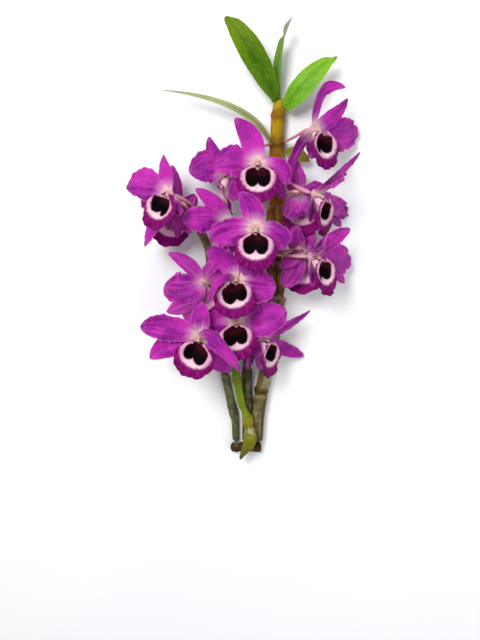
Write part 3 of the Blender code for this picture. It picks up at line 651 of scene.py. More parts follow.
def lip_surface(bloom, seed):
    """hub + face depth(s) - top (drop(s) + reach cos a) + right reach sin a, with reach near radius(s).

    s runs from the foot to the margin and a is the angle round from the lowest line. The reach
    narrows towards the open top, and the margin is ruffled by sines of the angle. The last two that
    come back are how far each point is aside, and how high it is, from the middle of the throat.
    """
    hub, face, top, right = bloom_axes(bloom)
    s = np.linspace(0.0, 1.0, LIP_ROWS)[:, None]
    depth, drop, radius, cover = table_curves(s, 0, LIP_RINGS, (1, 2, 3, 4))
    a = np.radians(cover) * np.linspace(-1.0, 1.0, LIP_COLUMNS)[None, :]
    high = np.sin(a / 2) ** 2
    reach = radius * (1 - LIP_NARROWING * s * high ** 2) + LIP_POINT * s ** 3 * (1 - high)
    forward = depth - LIP_LEAN * s ** 2 * high + LIP_WAVE * s ** 6 * np.sin(LIP_WAVES * a)
    ruffle = eased(0.76, 1.0, s)
    reach = reach + ruffle * (0.45 * np.sin(9 * a + seed) + 0.25 * np.sin(20 * a + 2 * seed))
    forward = forward + ruffle * (0.85 * np.sin(7 * a + seed) + 0.30 * np.sin(16 * a + 3 * seed))
    x, y = reach * np.sin(a), -reach * np.cos(a)
    surface = (hub + face * forward[..., None] - top * (drop - y)[..., None]
               + right * x[..., None])
    return surface, s, a, x, y - (drop - drop[-1])


print("lip grid:", LIP_ROWS, "x", LIP_COLUMNS)

# %% [markdown]
# The lip's dark throat and its cream ring have clear borders, and a picture wrapped round it would
# blur them. So each point carries two distances instead, to the border of the throat and to that of
# the ring, and the shader turns from one colour to the next where a distance passes zero.

# %% where the lip's markings lie
# The markings of some lips are turned, by degrees that lean their top to the right
LIP_TURN = {"01": 32.0, "07": -20.0, "08": -10.0, "09": 18.0}
# The throat has two dark lobes: how far each stands from the middle line, its half width, its half
# height and how high its middle is. Over them the dark narrows to a point, like a roof.
LOBE_APART, LOBE_WIDE, LOBE_TALL, LOBE_UP = 4.8, 5.8, 7.5, 1.2
ROOF_TOP, ROOF_WIDE, ROOF_LOW, ROOF_POINT = 12.5, 5.0, -2.0, 0.8
# The outer edge of the cream ring: its half width and half height, and how high its middle is
RING_WIDE, RING_TALL, RING_UP = 14.0, 12.4, 2.2
# What one radius is in mm, for the lobes and for the ring, and how softly lobes and roof join
LOBE_RADIUS, RING_RADIUS, BLEND = 6.2, 12.5, 0.8
# The markings turn about this height on the middle line
TURN_UP = 1.0


def lip_skin(bloom, turn, seed):
    """The lip as a skin, whose marks throat and ring are the distances in mm outside either border.

    Each dark lobe is a rounded square, the roof over them is a wedge, and the two are joined softly.
    The ring is an ellipse that narrows upwards.
    """
    surface, s, a, x, level = lip_surface(bloom, seed)
    cosine, sine = math.cos(math.radians(turn)), math.sin(math.radians(turn))
    above = level - TURN_UP
    x, level = x * cosine - above * sine, x * sine + above * cosine + TURN_UP
    square = 2.0 + 0.8 * eased(-1.0, 4.0, level)
    lobes = (np.abs((np.abs(x) - LOBE_APART) / LOBE_WIDE) ** square
             + np.abs((level - LOBE_UP) / LOBE_TALL) ** square) ** (1 / square)
    lobes = (lobes - 1) * LOBE_RADIUS
    deep = 4.5 * (1 - eased(0.2, 0.6, s))
    slope = ROOF_WIDE * (ROOF_TOP - level) / ROOF_TOP
    roof = np.maximum((np.abs(x) - ROOF_POINT - deep - slope) * 0.87, ROOF_LOW - level)
    throat = -BLEND * np.logaddexp(-lobes / BLEND, -roof / BLEND)
    outer_x = x / (RING_WIDE * (1 - 0.55 * eased(5.0, 14.0, level)))
    ring = (np.hypot(outer_x, (level - RING_UP) / RING_TALL) - 1) * RING_RADIUS
    return blade_skin(surface, 0.9 - 0.6 * s, {"along": s, "across": a / math.pi, "throat": throat,
                                               "ring": ring, "level": level,
                                               "lot": draws.uniform(0, 9)})


print("lips with turned markings:", list(LIP_TURN))

# %% [markdown]
# ### The lip's markings
# Two black-maroon lobes fill the throat, a cream ring goes round them and is whitest below, and the
# margin is magenta again. Higher up its sides the ring is pinker and darker, which is partly its own
# colour and partly painted shade. The markings are drawn from smooth distances that the mesh carries,
# so each boundary stays crisp at any size, and noise along the veins frays it as on the real lip. The
# back is thin and greyish, and the markings show through it faintly.

# %% lip velvet
def lip_velvet():
    """Velvet with a black-maroon throat, a cream ring and a magenta margin; mauve behind.

    Its nap drinks the light, so it is rough and almost without gloss. Its veins fan out 1 mm apart.
    """
    material, tree = new_material("lip_velvet", 0.70, subsurface_weight=0.04,
                                  subsurface_scale=0.002, specular_ior_level=0.05)
    veins = streaks(tree, 3.0, ("across", 42.0), ("along", 3.0), ("lot", 1.0))
    fray = add_node(tree, "Math", {0: veins, 1: 1.6, 2: -0.8}, operation="MULTIPLY_ADD")
    throat = add_node(tree, "Math", {0: "throat", 1: fray})
    ring = add_node(tree, "Math", {0: fray, 1: 2.2, 2: "ring"}, operation="MULTIPLY_ADD")
    margin = painted(tree, "60044C", ("8A1272", 1.0, (veins, 0.38, 0.66)),
                     ("52043E", 0.4, ("along", 0.92, 1.0)))
    # The ring is pinker and darker higher up, towards its sides: partly its own colour, partly painted
    # shade
    cream = painted(tree, "ECCAD2", ("D8A2BA", 1.0, ("level", -9.0, -2.0)),
                    ("D78CB8", 0.35, (veins, 0.52, 0.68)))
    dark = painted(tree, "080206", ("480C1E", 1.0, ("level", 0.0, 10.0)))
    behind = painted(tree, "8A5074", ("A87498", 1.0, (veins, 0.44, 0.62)),
                     ("EAB4CC", 1.0, (ring, -5.5, -3.2), (ring, 0.8, -0.8)),
                     ("7C0C66", 1.0, (ring, -0.6, 1.0)))
    colour = painted(tree, cream, (margin, 1.0, (ring, -1.4, 1.4)), (dark, 1.0, (throat, 0.6, -0.4)),
                     (behind, 1.0, ("front", 0.6, 0.4)))
    return finished(material, colour, (veins, 0.2, 0.4))


LIP_VELVET = lip_velvet()
for number, bloom in BLOOMS.items():
    skin = lip_skin(bloom, LIP_TURN.get(number, 0.0), draws.uniform(0, 6))
    place_piece(f"lip_{number}", skin, LIP_VELVET, [f"bloom_{number}_lip"])
print("lips placed:", len(BLOOMS))

# %% [markdown]
# ## The canes' table
# The canes are jointed: each row is a point up the cane and its radius there, and the fat rows are
# the joints. The leafy cane carries most blooms, the young one is this year's growth, and the
# other two are older and bare.

# %% the canes' table
CANES = {
    "leafy": [(13.0, 12.4, 7.2, 5.0), (13.5, 32, 7.2, 5.6), (16.6, 60, 7.2, 6.0), (17.2, 64, 7.2, 7.0),
              (18.2, 68, 7.2, 6.0), (23.1, 89, 7.2, 6.2), (28.0, 122, 7.2, 6.2), (30.6, 146, 7.2, 6.4),
              (30.9, 150, 7.2, 7.7), (30.8, 154, 7.2, 6.5), (29.4, 172, 7.2, 6.7), (28.9, 189, 7.2, 6.6),
              (28.9, 192, 7.2, 7.7), (28.9, 195, 7.2, 7.7), (28.9, 198, 7.2, 6.6), (29.4, 221, 7.2, 7.0),
              (30.6, 240, 7.2, 6.4), (30.9, 246, 7.2, 7.7), (30.8, 251, 7.2, 6.2), (30.0, 266, 7.2, 6.9),
              (29.7, 286, 7.2, 6.5), (29.7, 290, 7.2, 7.4), (29.8, 294, 7.2, 6.1), (30.2, 311, 7.4, 5.9),
              (30.4, 314, 7.4, 6.6), (30.8, 317, 7.6, 5.8), (31.8, 327, 8.0, 5.2), (32.0, 329, 8.0, 3.4)],
    "left": [(-7.0, 12.4, 4.3, 3.0), (-7.6, 32, 4.3, 3.4), (-9.5, 42, 4.3, 4.2), (-12.0, 54, 4.3, 3.4),
             (-16.9, 80, 4.3, 3.6), (-17.8, 84, 4.3, 4.5), (-18.7, 88, 4.3, 3.6), (-23.4, 118, 4.3, 3.6),
             (-24.3, 122, 4.3, 4.6), (-25.0, 126, 4.3, 3.6), (-27.5, 157, 4.3, 4.5), (-28.5, 170, 4.3, 3.5),
             (-29.3, 186, 4.3, 4.7), (-32.0, 197, 4.8, 3.6), (-39.0, 213, 5.0, 3.7), (-45.0, 222, 5.0, 4.4),
             (-48.0, 226, 5.0, 2.4)],
    "back": [(2.6, 12.4, 4.6, 3.6), (3.4, 34, 4.6, 4.0), (3.6, 49, 4.6, 4.9), (3.7, 54, 4.6, 4.1),
             (3.7, 80, 4.6, 4.8), (3.6, 86, 4.6, 3.9), (2.9, 102, 4.6, 3.4), (2.7, 106, 4.6, 1.6)],
    "young": [(-2.9, -2.6, 13.8, 1.2), (-1.0, 2, 15.0, 2.2), (2.6, 9, 16.9, 4.2), (5.8, 16, 17.6, 6.0),
              (6.5, 21, 17.8, 6.3), (5.8, 27, 17.8, 5.2), (4.9, 30.5, 17.8, 4.1), (4.3, 36, 17.8, 5.6),
              (3.6, 41, 17.8, 4.9), (1.8, 46, 17.8, 3.1), (-1.0, 53, 18.0, 3.3), (-4.8, 72, 18.5, 3.8),
              (-5.8, 77, 18.6, 4.5), (-6.6, 82, 18.7, 3.7), (-9.6, 104, 19.0, 3.6), (-11.6, 119, 19.2, 4.3),
              (-12.2, 124, 19.3, 3.4), (-12.6, 128, 19.4, 1.6)],
}
print("canes:", {name: rows[-1][1] - rows[0][1] for name, rows in CANES.items()}, "mm high")

# %% [markdown]
# ## Tubes
# Columns, stalks, canes and the rootstock are tubes: a ring of points carried along a path. The
# grid's last column meets its first, and each end is closed by a single point.

# %% tubes as closed skins
def around(sides):
    """The angles of the columns of a tube, as one row."""
    return np.arange(sides)[None, :] * 2 * math.pi / sides


def path_frames(path):
    """Two directions across a path: a fixed one made square to it, and its cross product."""
    tangent = unit(np.gradient(path, axis=0))
    fixed = np.eye(3)[np.argmin(np.abs(tangent).max(axis=0))]
    side = unit(fixed - (tangent @ fixed)[:, None] * tangent)
    return side, np.cross(tangent, side)


def tube_skin(path, radius, marks, sides, frames=None):
    """path + radius (side cos a + over sin a), a grid of rings, closed by a point at either end."""
    rings = len(path)
    side, over = frames or path_frames(path)
    angle = around(sides)[..., None]
    round_way = side[:, None] * np.cos(angle) + over[:, None] * np.sin(angle)
    points = np.concatenate([(path[:, None] + round_way * radius[..., None]).reshape(-1, 3),
                             path[:1], path[-1:]])
    quads = cell_faces(rings, sides, wrap=True)[:, ::-1]
    here = np.arange(sides)
    after = (here + 1) % sides
    last = (rings - 1) * sides
    start = np.stack([after, here, np.full(sides, rings * sides)], -1)
    end = np.stack([here + last, after + last, np.full(sides, rings * sides + 1)], -1)
    values = {}
    for name, value in marks.items():
        value = np.broadcast_to(value, (rings, sides))
        values[name] = np.append(value.ravel(), [value[0].mean(), value[-1].mean()])
    return {"points": points, "quads": quads, "tips": np.concatenate([start, end]), "marks": values}


print("angles of a tube with four sides:", np.degrees(around(4)).tolist())

# %% [markdown]
# ## Column and stalk
# The column is the waxy rod that carries pollen, under a round cap. Behind it the tepals meet in a
# knob, which runs on into the ovary and the thin stalk to the cane. Both are tubes whose radius
# follows a table.

# %% columns
HUB_DEPTH = 3.2
COLUMN_LENGTH = 9.5
COLUMN_DROOP = 2.0
# Along knob, rod and cap: how far in front of the hub, and how thick, each at shares of the whole
COLUMN_DEPTHS = {0: -3.1, 0.3: 0.4, 0.45: 2.6, 0.8: 7.6, 0.9: 9.0, 1.0: 9.6}
COLUMN_RADII = {0: 1.2, 0.06: 2.4, 0.18: 3.5, 0.32: 3.4, 0.45: 2.3, 0.66: 1.8, 0.78: 1.6, 0.86: 1.7,
                0.95: 1.4, 1.0: 0.3}
COLUMN_RINGS, COLUMN_SIDES = 40, 20


def column_skin(bloom):
    """Knob, rod and cap as one tube: hub + face l - top droop (l/length)2, hollow under the rod."""
    hub, face, top, right = bloom_axes(bloom)
    s = np.linspace(0.0, 1.0, COLUMN_RINGS)[:, None]
    forward = smooth_table(s, list(COLUMN_DEPTHS), list(COLUMN_DEPTHS.values()))
    radius = smooth_table(s, list(COLUMN_RADII), list(COLUMN_RADII.values()))
    down = np.clip(forward / COLUMN_LENGTH, 0, 1) ** 2 * COLUMN_DROOP
    path = hub + face * forward - top * down
    angle = around(COLUMN_SIDES)
    body = radius * (1 - 0.22 * eased(0.2, 1.0, -np.sin(angle)) * eased(0.45, 0.6, s))
    frames = (np.broadcast_to(right, path.shape), np.broadcast_to(top, path.shape))
    return tube_skin(path, body, {"along": s, "sideways": body * np.cos(angle),
                                  "upwards": body * np.sin(angle)}, COLUMN_SIDES, frames)


print("column length", COLUMN_LENGTH, "mm, and it droops by", COLUMN_DROOP, "mm")

# %% [markdown]
# A stalk leaves the knob behind the flower as its ovary, which has three low ribs. It bends round to
# the cane and thickens again at its seat there, so its path is a curve with a handle at either end.

# %% stalks
# Along a stalk, from the ovary behind the hub to the seat on the cane
STALK_RADII = {0: 0.6, 0.05: 1.5, 0.2: 1.75, 0.45: 1.2, 0.93: 1.1, 0.97: 1.5, 1.0: 1.2}
STALK_RINGS, STALK_SIDES = 48, 14
SEAT_GAP = 0.3


def cane_at(cane, height):
    """The middle and radius of a cane at a distance up the stem."""
    rows = np.array(CANES[cane], float)
    middle = np.array([np.interp(height, rows[:, 1], rows[:, k]) for k in (0, 1, 2)])
    return middle, float(np.interp(height, rows[:, 1], rows[:, 3]))


def stalk_skin(bloom):
    """A Bezier path from behind the hub to the cane, thicker at the ovary and at the seat."""
    hub, face = bloom_axes(bloom)[:2]
    cane, height, side, bow = bloom["seat"]
    middle, radius = cane_at(cane, height)
    away = unit((side[0], 0.0, side[1]))
    seat = middle + away * (radius + SEAT_GAP)
    behind = hub - face * (HUB_DEPTH + SEAT_GAP)
    s = np.linspace(0.0, 1.0, STALK_RINGS)
    path = bezier([behind, behind - face * bow[0], seat + away * bow[1], seat], s)
    thick = smooth_table(s, list(STALK_RADII), list(STALK_RADII.values()))[:, None]
    angle = around(STALK_SIDES)
    ribs = 0.09 * np.cos(3 * angle) * (1 - eased(0.2, 0.5, s))[:, None]
    return tube_skin(path, thick + ribs, {"along": s[:, None], "across": np.sin(angle),
                                          "lot": draws.uniform(0, 9)}, STALK_SIDES)


print("a stalk is", 2 * STALK_RADII[0.2], "mm thick at its ovary and", 2 * STALK_RADII[0.93],
      "mm near the cane")

# %% [markdown]
# The column is cream-pink wax with a maroon fleck beneath the end of its cap. The
# stalks are smooth, pinkish and slightly translucent, and browner towards the cane.

# %% column wax and stalk skin
def column_wax():
    """Cream-pink wax with a maroon fleck beneath the end of its cap; light sinks a little into it."""
    material, tree = new_material("column_wax", 0.50, subsurface_weight=0.15,
                                  subsurface_scale=0.002, specular_ior_level=0.2)
    mottle = clouds(tree, 1.4)
    aside = add_node(tree, "Math", {0: "sideways"}, operation="ABSOLUTE")
    colour = painted(tree, "CC9AA4", ("C8A498", 1.0, ("along", 0.40, 0.70)),
                     ("D4B8A4", 0.5, (mottle, 0.45, 0.65)),
                     ("5E1826", 1.0, (aside, 1.7, 1.0), ("upwards", 0.9, 0.0), ("along", 0.56, 0.68)))
    return finished(material, colour, (mottle, 0.15, 0.4))


def stalk_rind():
    """Smooth pinkish rind with faint lengthwise streaks, browner towards the cane."""
    material, tree = new_material("stalk_rind", 0.48, subsurface_weight=0.10,
                                  subsurface_scale=0.002, specular_ior_level=0.3)
    lines = lengthwise(tree, 4.0, 6.0)
    colour = painted(tree, "C07088", ("D8A098", 1.0, (lines, 0.4, 0.66)),
                     ("D49CB0", 0.8, ("along", 0.35, 0.0)), ("A8703C", 0.6, ("along", 0.75, 1.0)))
    return finished(material, colour, (lines, 0.3, 0.4))


COLUMN_WAX, STALK_RIND = column_wax(), stalk_rind()
for number, bloom in BLOOMS.items():
    place_piece(f"column_{number}", column_skin(bloom), COLUMN_WAX)
    place_piece(f"stalk_{number}", stalk_skin(bloom), STALK_RIND,
                [f"bloom_{number}_stalk"])
print("columns and stalks placed:", 2 * len(BLOOMS))

# %% [markdown]
# ## Canes
# A cane is a row of joints. Each swells at its node, where a leaf once sat and left a ring, and old
# canes are furrowed because they have given up their water. The radius follows the table, then
# furrows and small bumps are added as a function of the angle and the distance up the cane.

# %% cane surface
def cane_path(name, count):
    """Points up a cane, evenly spaced, with its radius, by the curve through its table."""
    rows = np.array(CANES[name], float)
    run = np.concatenate([[0], np.cumsum(np.linalg.norm(np.diff(rows[:, :3], axis=0), axis=1))])
    place = np.linspace(0, run[-1], count)
    path = np.stack([smooth_table(place, run, rows[:, k]) for k in (0, 1, 2)], -1)
    return path, smooth_table(place, run, rows[:, 3]), place


def grounded(skin):
    """The skin with whatever would sink below the surface that the stem lies on pressed flat."""
    skin["points"][:, 2] = np.maximum(skin["points"][:, 2], 0.0)
    return skin


def cane_skin(name, rings, sides, furrow, furrows, seed):
    """radius(s) - furrow (1 - |sin(furrows a / 2 + drift(s))|^0.7) + small bumps, narrowed at its ends."""
    path, radius, place = cane_path(name, rings)
    angle = around(sides)
    p = place[:, None]
    thick = radius[:, None] / np.median(radius)
    quiet = 1 - eased(1.05, 1.2, thick)
    drift = 0.5 * np.sin(0.03 * p + seed) + 0.25 * np.sin(0.11 * p + 2 * seed)
    grooves = np.abs(np.sin(furrows / 2 * angle + drift)) ** 0.7
    body = radius[:, None] - furrow * (1 - grooves) * quiet
    body = body + 0.12 * np.sin(3 * angle + 0.07 * p + seed) + 0.10 * np.sin(5 * angle - 0.16 * p)
    taper = np.minimum(eased(-0.5, 2.5, p), eased(-0.5, 2.0, p[-1] - p))
    skin = tube_skin(path, body * np.maximum(taper, 0.12), {
        "up": path[:, 1:2], "turn_x": np.cos(angle), "turn_y": np.sin(angle), "fat": thick}, sides)
    return grounded(skin)


print("leafy cane length:", round(float(cane_path("leafy", 400)[2][-1])), "mm")

# %% [markdown]
# The rind of a cane is waxy and green at first, then golden, and at last straw brown and streaked.
# Its colours change up the cane, so the shader reads the distance up the stem, and its streaks and
# blotches are drawn from the angle round the cane and stretched along it.

# %% cane rinds
RAMP_TOP = 340.0


def cane_rind(name, bands, streak_colour, blotch_colour, ring_colour, roughness, streaked=0.5,
              blotched=0.6, flecked=0.0, clean=-30.0):
    """A waxy rind: a colour for each height, streaks along it, blotches, and dark node rings.

    Streaks are 1 to 2 mm apart, blotches 8 mm across and specks 1.1 mm. flecked is how strongly
    silvery shreds of old sheath show near the foot, and blotches are left out lower than clean.
    """
    material, tree = new_material(name, roughness, specular_ior_level=0.14)
    height = add_node(tree, "MapRange", {"Value": "up", "From Max": RAMP_TOP})
    ramp = add_node(tree, "ValToRGB", {"Fac": height})
    stops = ramp.color_ramp.elements
    while len(stops) > 1:
        stops.remove(stops[-1])
    stops[0].position = bands[0][0] / RAMP_TOP
    stops[0].color = linear(bands[0][1])
    for up, colour in bands[1:]:
        stops.new(up / RAMP_TOP).color = linear(colour)
    lines = streaks(tree, 4.0, ("turn_x", 6.4), ("up", 0.056), ("turn_y", 6.4))
    blotches = clouds(tree, 8.0, 5.0)
    specks = clouds(tree, 1.1)
    # Old sheath clings in shreds, most of all round the waist between 29 and 30 mm
    clinging = limited(tree, 0.17, ("up", 19.0, 29.0), ("up", 35.0, 30.0))
    flakes = streaks(tree, 4.0, ("turn_x", 2.6), ("up", 0.22), ("turn_y", 2.6))
    shreds = add_node(tree, "Math", {0: flakes, 1: clinging})
    colour = painted(tree, (ramp, 0),
                     (streak_colour, streaked, (lines, 0.46, 0.62)),
                     (blotch_colour, blotched, (blotches, 0.50, 0.64), ("up", clean - 40.0, clean)),
                     (ring_colour, 0.5, (specks, 0.62, 0.70)),
                     ("C0BE9C", flecked, (shreds, 0.63, 0.74), ("up", 8.0, 16.0), ("up", 50.0, 40.0)),
                     (ring_colour, 0.4, ("fat", 1.02, 1.16), (blotches, 0.30, 0.60)))
    patchy = add_node(tree, "MapRange", {"Value": blotches, "From Min": 0.3, "From Max": 0.7,
                      "To Min": roughness - 0.08, "To Max": roughness + 0.14},
                      interpolation_type="SMOOTHSTEP")
    tree.links.new(patchy.outputs[0], tree.nodes["Principled BSDF"].inputs["Roughness"])
    return finished(material, colour, (specks, 0.2, 0.3), (lines, 0.5, 0.8))


print("rind colours are read up to", RAMP_TOP, "mm up the stem")

# %% [markdown]
# Each cane has colours of its own. A row is a height on it and the colour there, and close rows with
# different colours make a node's dark ring or a bright young joint.

# %% the canes in place
GOLDEN_RIND = cane_rind("golden_rind", [
    (12, "40381C"), (30, "4A4222"), (46, "5E5630"), (60, "6A5C2E"), (64, "34240E"), (69, "7A6836"),
    (95, "76643A"), (146, "6A4A20"), (158, "5A3816"), (184, "62401C"), (188, "341C08"),
    (193, "7A5028"), (200, "805426"), (232, "8C5C1A"), (238, "C87814"), (250, "C07810"),
    (257, "A06C0C"), (282, "A87814"), (287, "7A560C"), (293, "7E5A0A"), (298, "AE8A06"),
    (308, "B09006"), (312, "86640A"), (316, "8A680A"), (321, "B09408"), (328, "A0920E")],
    "7A5A08", "84520C", "4A2C06", 0.50, clean=170.0)
GREY_RIND = cane_rind("grey_rind", [
    (12, "4E5A2A"), (44, "5A6234"), (90, "6E6C40"), (160, "6A6434"), (226, "7A5A38")],
    "48441E", "94907A", "2E2610", 0.60)
DARK_RIND = cane_rind("dark_rind", [
    (12, "303810"), (60, "46501A"), (106, "3E3E18")],
    "22260A", "7C7A62", "221C0A", 0.55)
YOUNG_RIND = cane_rind("young_rind", [
    (-4, "424826"), (8, "5E641C"), (14, "7C7808"), (38, "868004"), (46, "687A10"), (80, "647E12"),
    (108, "70781C"), (118, "A07840"), (128, "B87A5C")],
    "566A0C", "8E860C", "4E4C10", 0.42, streaked=0.35, blotched=0.4, flecked=0.85)
for cane, material, slot, rings, sides, furrow, furrows in (
        ("leafy", GOLDEN_RIND, "cane_golden", 420, 48, 0.42, 14),
        ("left", GREY_RIND, "cane_grey", 320, 36, 0.22, 10),
        ("back", DARK_RIND, "cane_dark", 140, 36, 0.25, 10),
        ("young", YOUNG_RIND, "cane_young", 220, 40, 0.10, 8)):
    place_piece(f"{cane}_cane", cane_skin(cane, rings, sides, furrow, furrows, draws.uniform(0, 6)),
                material, [f"cane_{cane}"])
print("canes placed:", list(CANES))

# %% [markdown]
# ## Dry sheaths
# The foot of each leaf once wrapped the cane. What is left is paper: a thin brown sleeve with pale
# veins, open at the back, whose top is an arched collar. Each is a blade bent round its cane, with
# its top edge higher at the front, so it needs only a grid of height by angle.

# %% sheath surfaces
SHEATH_ROWS, SHEATH_COLUMNS = 40, 61
SHEATH_THICKNESS = 0.35


def sheath_skin(cane, low, high, arch, turn, lean, gap, seed):
    """cane(y) + (radius(y) + gap + flare) (-sin a, 0, cos a), from y = low up to an arched top edge.

    That edge is high - arch (1 - cos a), torn by sines of a. turn is how far the sheath reaches
    round to either side of lean, in degrees, and its ribs are sines of a.
    """
    t = np.linspace(0.0, 1.0, SHEATH_ROWS)[:, None]
    off = np.radians(turn) * np.linspace(-1.0, 1.0, SHEATH_COLUMNS)[None, :]
    a = np.radians(lean) + off
    torn = 0.5 * np.sin(7 * a + seed) + 0.35 * np.sin(17 * a + 2 * seed)
    y = low + t * (high - low - arch * (1 - np.cos(a)) + torn)
    middle_x, middle_z, radius = table_curves(y, 1, CANES[cane], (0, 2, 3))
    ribs = 0.10 * np.sin(26 * a + seed) + 0.07 * np.sin(41 * a + 0.3 * y)
    reach = radius + gap + 0.5 * eased(0.8, 1.0, t) + ribs - 0.25 * eased(0.15, 0.0, t)
    surface = np.stack([middle_x - reach * np.sin(a), y, middle_z + reach * np.cos(a)], -1)
    return grounded(blade_skin(surface, np.full_like(y, SHEATH_THICKNESS),
                               {"along": t, "across": off / math.pi, "lot": seed}))


print("sheath grid:", SHEATH_ROWS, "x", SHEATH_COLUMNS)

# %% [markdown]
# ### Sheath paper
# A dead sheath is pale, ribbed paper that has gone brown in blotches. Its veins stay lighter than
# what lies between them, and its torn edge is bleached. Painted shade darkens it towards its sides,
# where it turns away round the cane, and towards its foot. Each sheath has weathered in its own way,
# so each has colours of its own.

# %% sheath paper, and the sheaths in place
def sheath_paper(name, dark, light, vein, collar):
    """Dry paper: blotched, with fine pale veins that run up it, and a pale torn collar.

    The veins are about 0.6 mm apart, with finer dark ones between, and old paper has no gloss.
    """
    material, tree = new_material(f"sheath_paper_{name}", 0.72, specular_ior_level=0.2)
    veins = lengthwise(tree, 34.0, 1.2)
    aside = add_node(tree, "Math", {0: "across"}, operation="ABSOLUTE")
    colour = painted(tree, dark, (light, 1.0, (clouds(tree, 7.0, 4.0), 0.38, 0.62)),
                     (vein, 0.75, (veins, 0.53, 0.66)),
                     (dark, 0.55, (lengthwise(tree, 70.0, 2.0), 0.55, 0.70)),
                     # Painted shade: darker towards the sides, where the sheath turns away round the cane,
                     # and towards its foot
                     (dark, 0.55, (aside, 0.22, 0.45)),
                     (dark, 0.80, ("along", 0.5, 0.0)),
                     (collar, 0.6, ("along", 0.88, 1.0)))
    return finished(material, colour, (veins, 0.6, 0.6))


# Its name, cane, low, high, arch, turn, lean and gap, then its paper's name and colours, its slot
for name, cane, *measures, paper, slot in (
        ("sheath_upper", "leafy", 198, 238, 6.5, 150, 0, 1.5,
         ("brown", "6E4210", "AC7424", "E6C890", "C09A64"), "cane_golden"),
        ("sheath_middle", "leafy", 157, 186, 3.0, 145, 0, 0.8,
         ("dark", "3A220A", "70501E", "B49A62", "8A6A44"), "cane_golden"),
        ("sheath_lower", "leafy", 100, 155, 5.0, 145, 0, 0.6,
         ("grey", "54402A", "866E50", "C4B294", "A48E6E"), "cane_golden"),
        ("sheath_side", "leafy", 67, 101, 6.0, 80, -62, 0.9,
         ("straw", "7A7252", "A8A284", "D2CEBA", "C6C0A8"), "cane_golden"),
        ("sheath_foot", "leafy", 15, 61, 3.0, 140, 0, 0.3,
         ("khaki", "4A3E1C", "70643A", "AEA27A", "94885C"), "cane_golden"),
        ("sheath_left", "left", 45, 79, 2.0, 120, 0, 0.3,
         ("silver", "4C4C2A", "7E7C52", "BCB89C", "A8A47E"), "cane_grey"),
        ("sheath_back", "back", 40, 60, 3.0, 110, 0, 0.3,
         ("moss", "34361A", "5A5634", "8E8A6C", "6E6A4C"), "cane_dark")):
    place_piece(name, sheath_skin(cane, *measures, draws.uniform(0, 6)), sheath_paper(*paper))
print("sheaths placed")

# %% [markdown]
# ## Leaves
# A dendrobium leaf is a thick, glossy strap with a sunk midrib and fine parallel veins. The three
# at the tip are green, the long one is last year's and has dried to pale straw, and a small bract sits
# lower down. They are blades of the same formula, with no waves or ruffles.

# %% leaf blades
LEAVES = {
    "leaf_broad_left": {"midrib": [(28.4, 326.5, 13.9), (11, 362, 30), (-12.5, 392.8, 24)],
                        "width": 21.0, "face": (0.1, 0.0, 1.0), "twist": 0.0, "cup": 0.10,
                        "outline": {"claw": 0.40, "broadest": 0.52, "round": 0.44}},
    "leaf_broad_right": {"midrib": [(36.6, 319.6, 13.6), (51, 340, 30), (76, 361.5, 20)],
                         "width": 19.5, "face": (-0.2, 0.1, 1.0), "twist": 0.0, "cup": 0.12,
                         "outline": {"claw": 0.46, "round": 0.52}},
    "leaf_narrow_top": {"midrib": [(31.4, 329.9, 8.0), (25.5, 367, 12), (40.6, 392.4, 26)],
                        "width": 13.0, "face": (-0.9, 0.1, 0.7), "twist": 20.0, "cup": 0.10,
                        "outline": {"broadest": 0.40, "round": 0.80}},
    "leaf_old_thin": {"midrib": [(22.4, 293.8, 8.8), (4, 326, 30), (-68.8, 334, 20)],
                      "width": 6.0, "face": (0.0, 0.3, 1.0), "twist": 0.0, "cup": 0.2,
                      "outline": {"claw": 0.45, "broadest": 0.30}},
    "leaf_bract": {"midrib": [(37.4, 283.0, 9.0), (47, 282, 16), (58.5, 275, 10)],
                   "width": 12.0, "face": (0.0, 0.0, 1.0), "twist": 0.0, "cup": 0.12,
                   "outline": {}},
}
LEAF = {"claw": 0.34, "broadest": 0.45, "round": 0.66, "wave": 0.0, "waves": 1.0, "ruffle": 0.0,
        "wander": 0.012, "fold": 0.15, "grid": (96, 33)}
# Grid places on a leaf: the column of its midrib, a row near its tip and one near its middle
MIDRIB, NEAR_TIP, HALFWAY = 16, -10, 52
# A pinched leaf narrows at the first share of its length and swells again at the second
PINCH_AT, SWELL_AT = 0.74, 0.87
# How each tip is drawn out: a point along it and a hook across it, in mm, and the pinch as a share
LEAF_TIPS = {"leaf_broad_left": (1.5, 2.0, 0.0), "leaf_broad_right": (2.5, -2.5, 0.0),
             "leaf_narrow_top": (0.0, 0.0, 0.6), "leaf_old_thin": (0.0, 0.0, 0.0),
             "leaf_bract": (1.0, 0.0, 0.0)}


def leaf_skin(name, seed):
    """A blade with a sunk midrib, as thick as a card in the middle and thin at the margin."""
    leaf = LEAVES[name]
    point, hook, pinch = LEAF_TIPS[name]
    kind = {**LEAF, "cup": leaf["cup"], **leaf["outline"]}
    surface, s, a = blade(leaf["midrib"], leaf["face"], leaf["width"], kind, seed, leaf["twist"])
    spine = surface[:, MIDRIB:MIDRIB + 1]
    neck = 1 - pinch * np.exp(-((s - PINCH_AT) / 0.045) ** 2)
    neck = neck + 0.9 * pinch * np.exp(-((s - SWELL_AT) / 0.06) ** 2)
    surface = spine + (surface - spine) * neck[..., None]
    ahead = unit(surface[-1, MIDRIB] - surface[NEAR_TIP, MIDRIB])
    aside = unit(surface[HALFWAY, -1] - surface[HALFWAY, 0])
    surface = surface + ahead * (point * eased(0.975, 1.0, s))[..., None]
    surface = surface + aside * (hook * eased(0.86, 1.0, s) ** 2)[..., None]
    thickness = 0.3 + 0.8 * (1 - a ** 2) * (1 - 0.6 * s)
    return blade_skin(surface, thickness, {"along": s, "across": a, "lot": seed})


print("leaf grid:", LEAF["grid"])

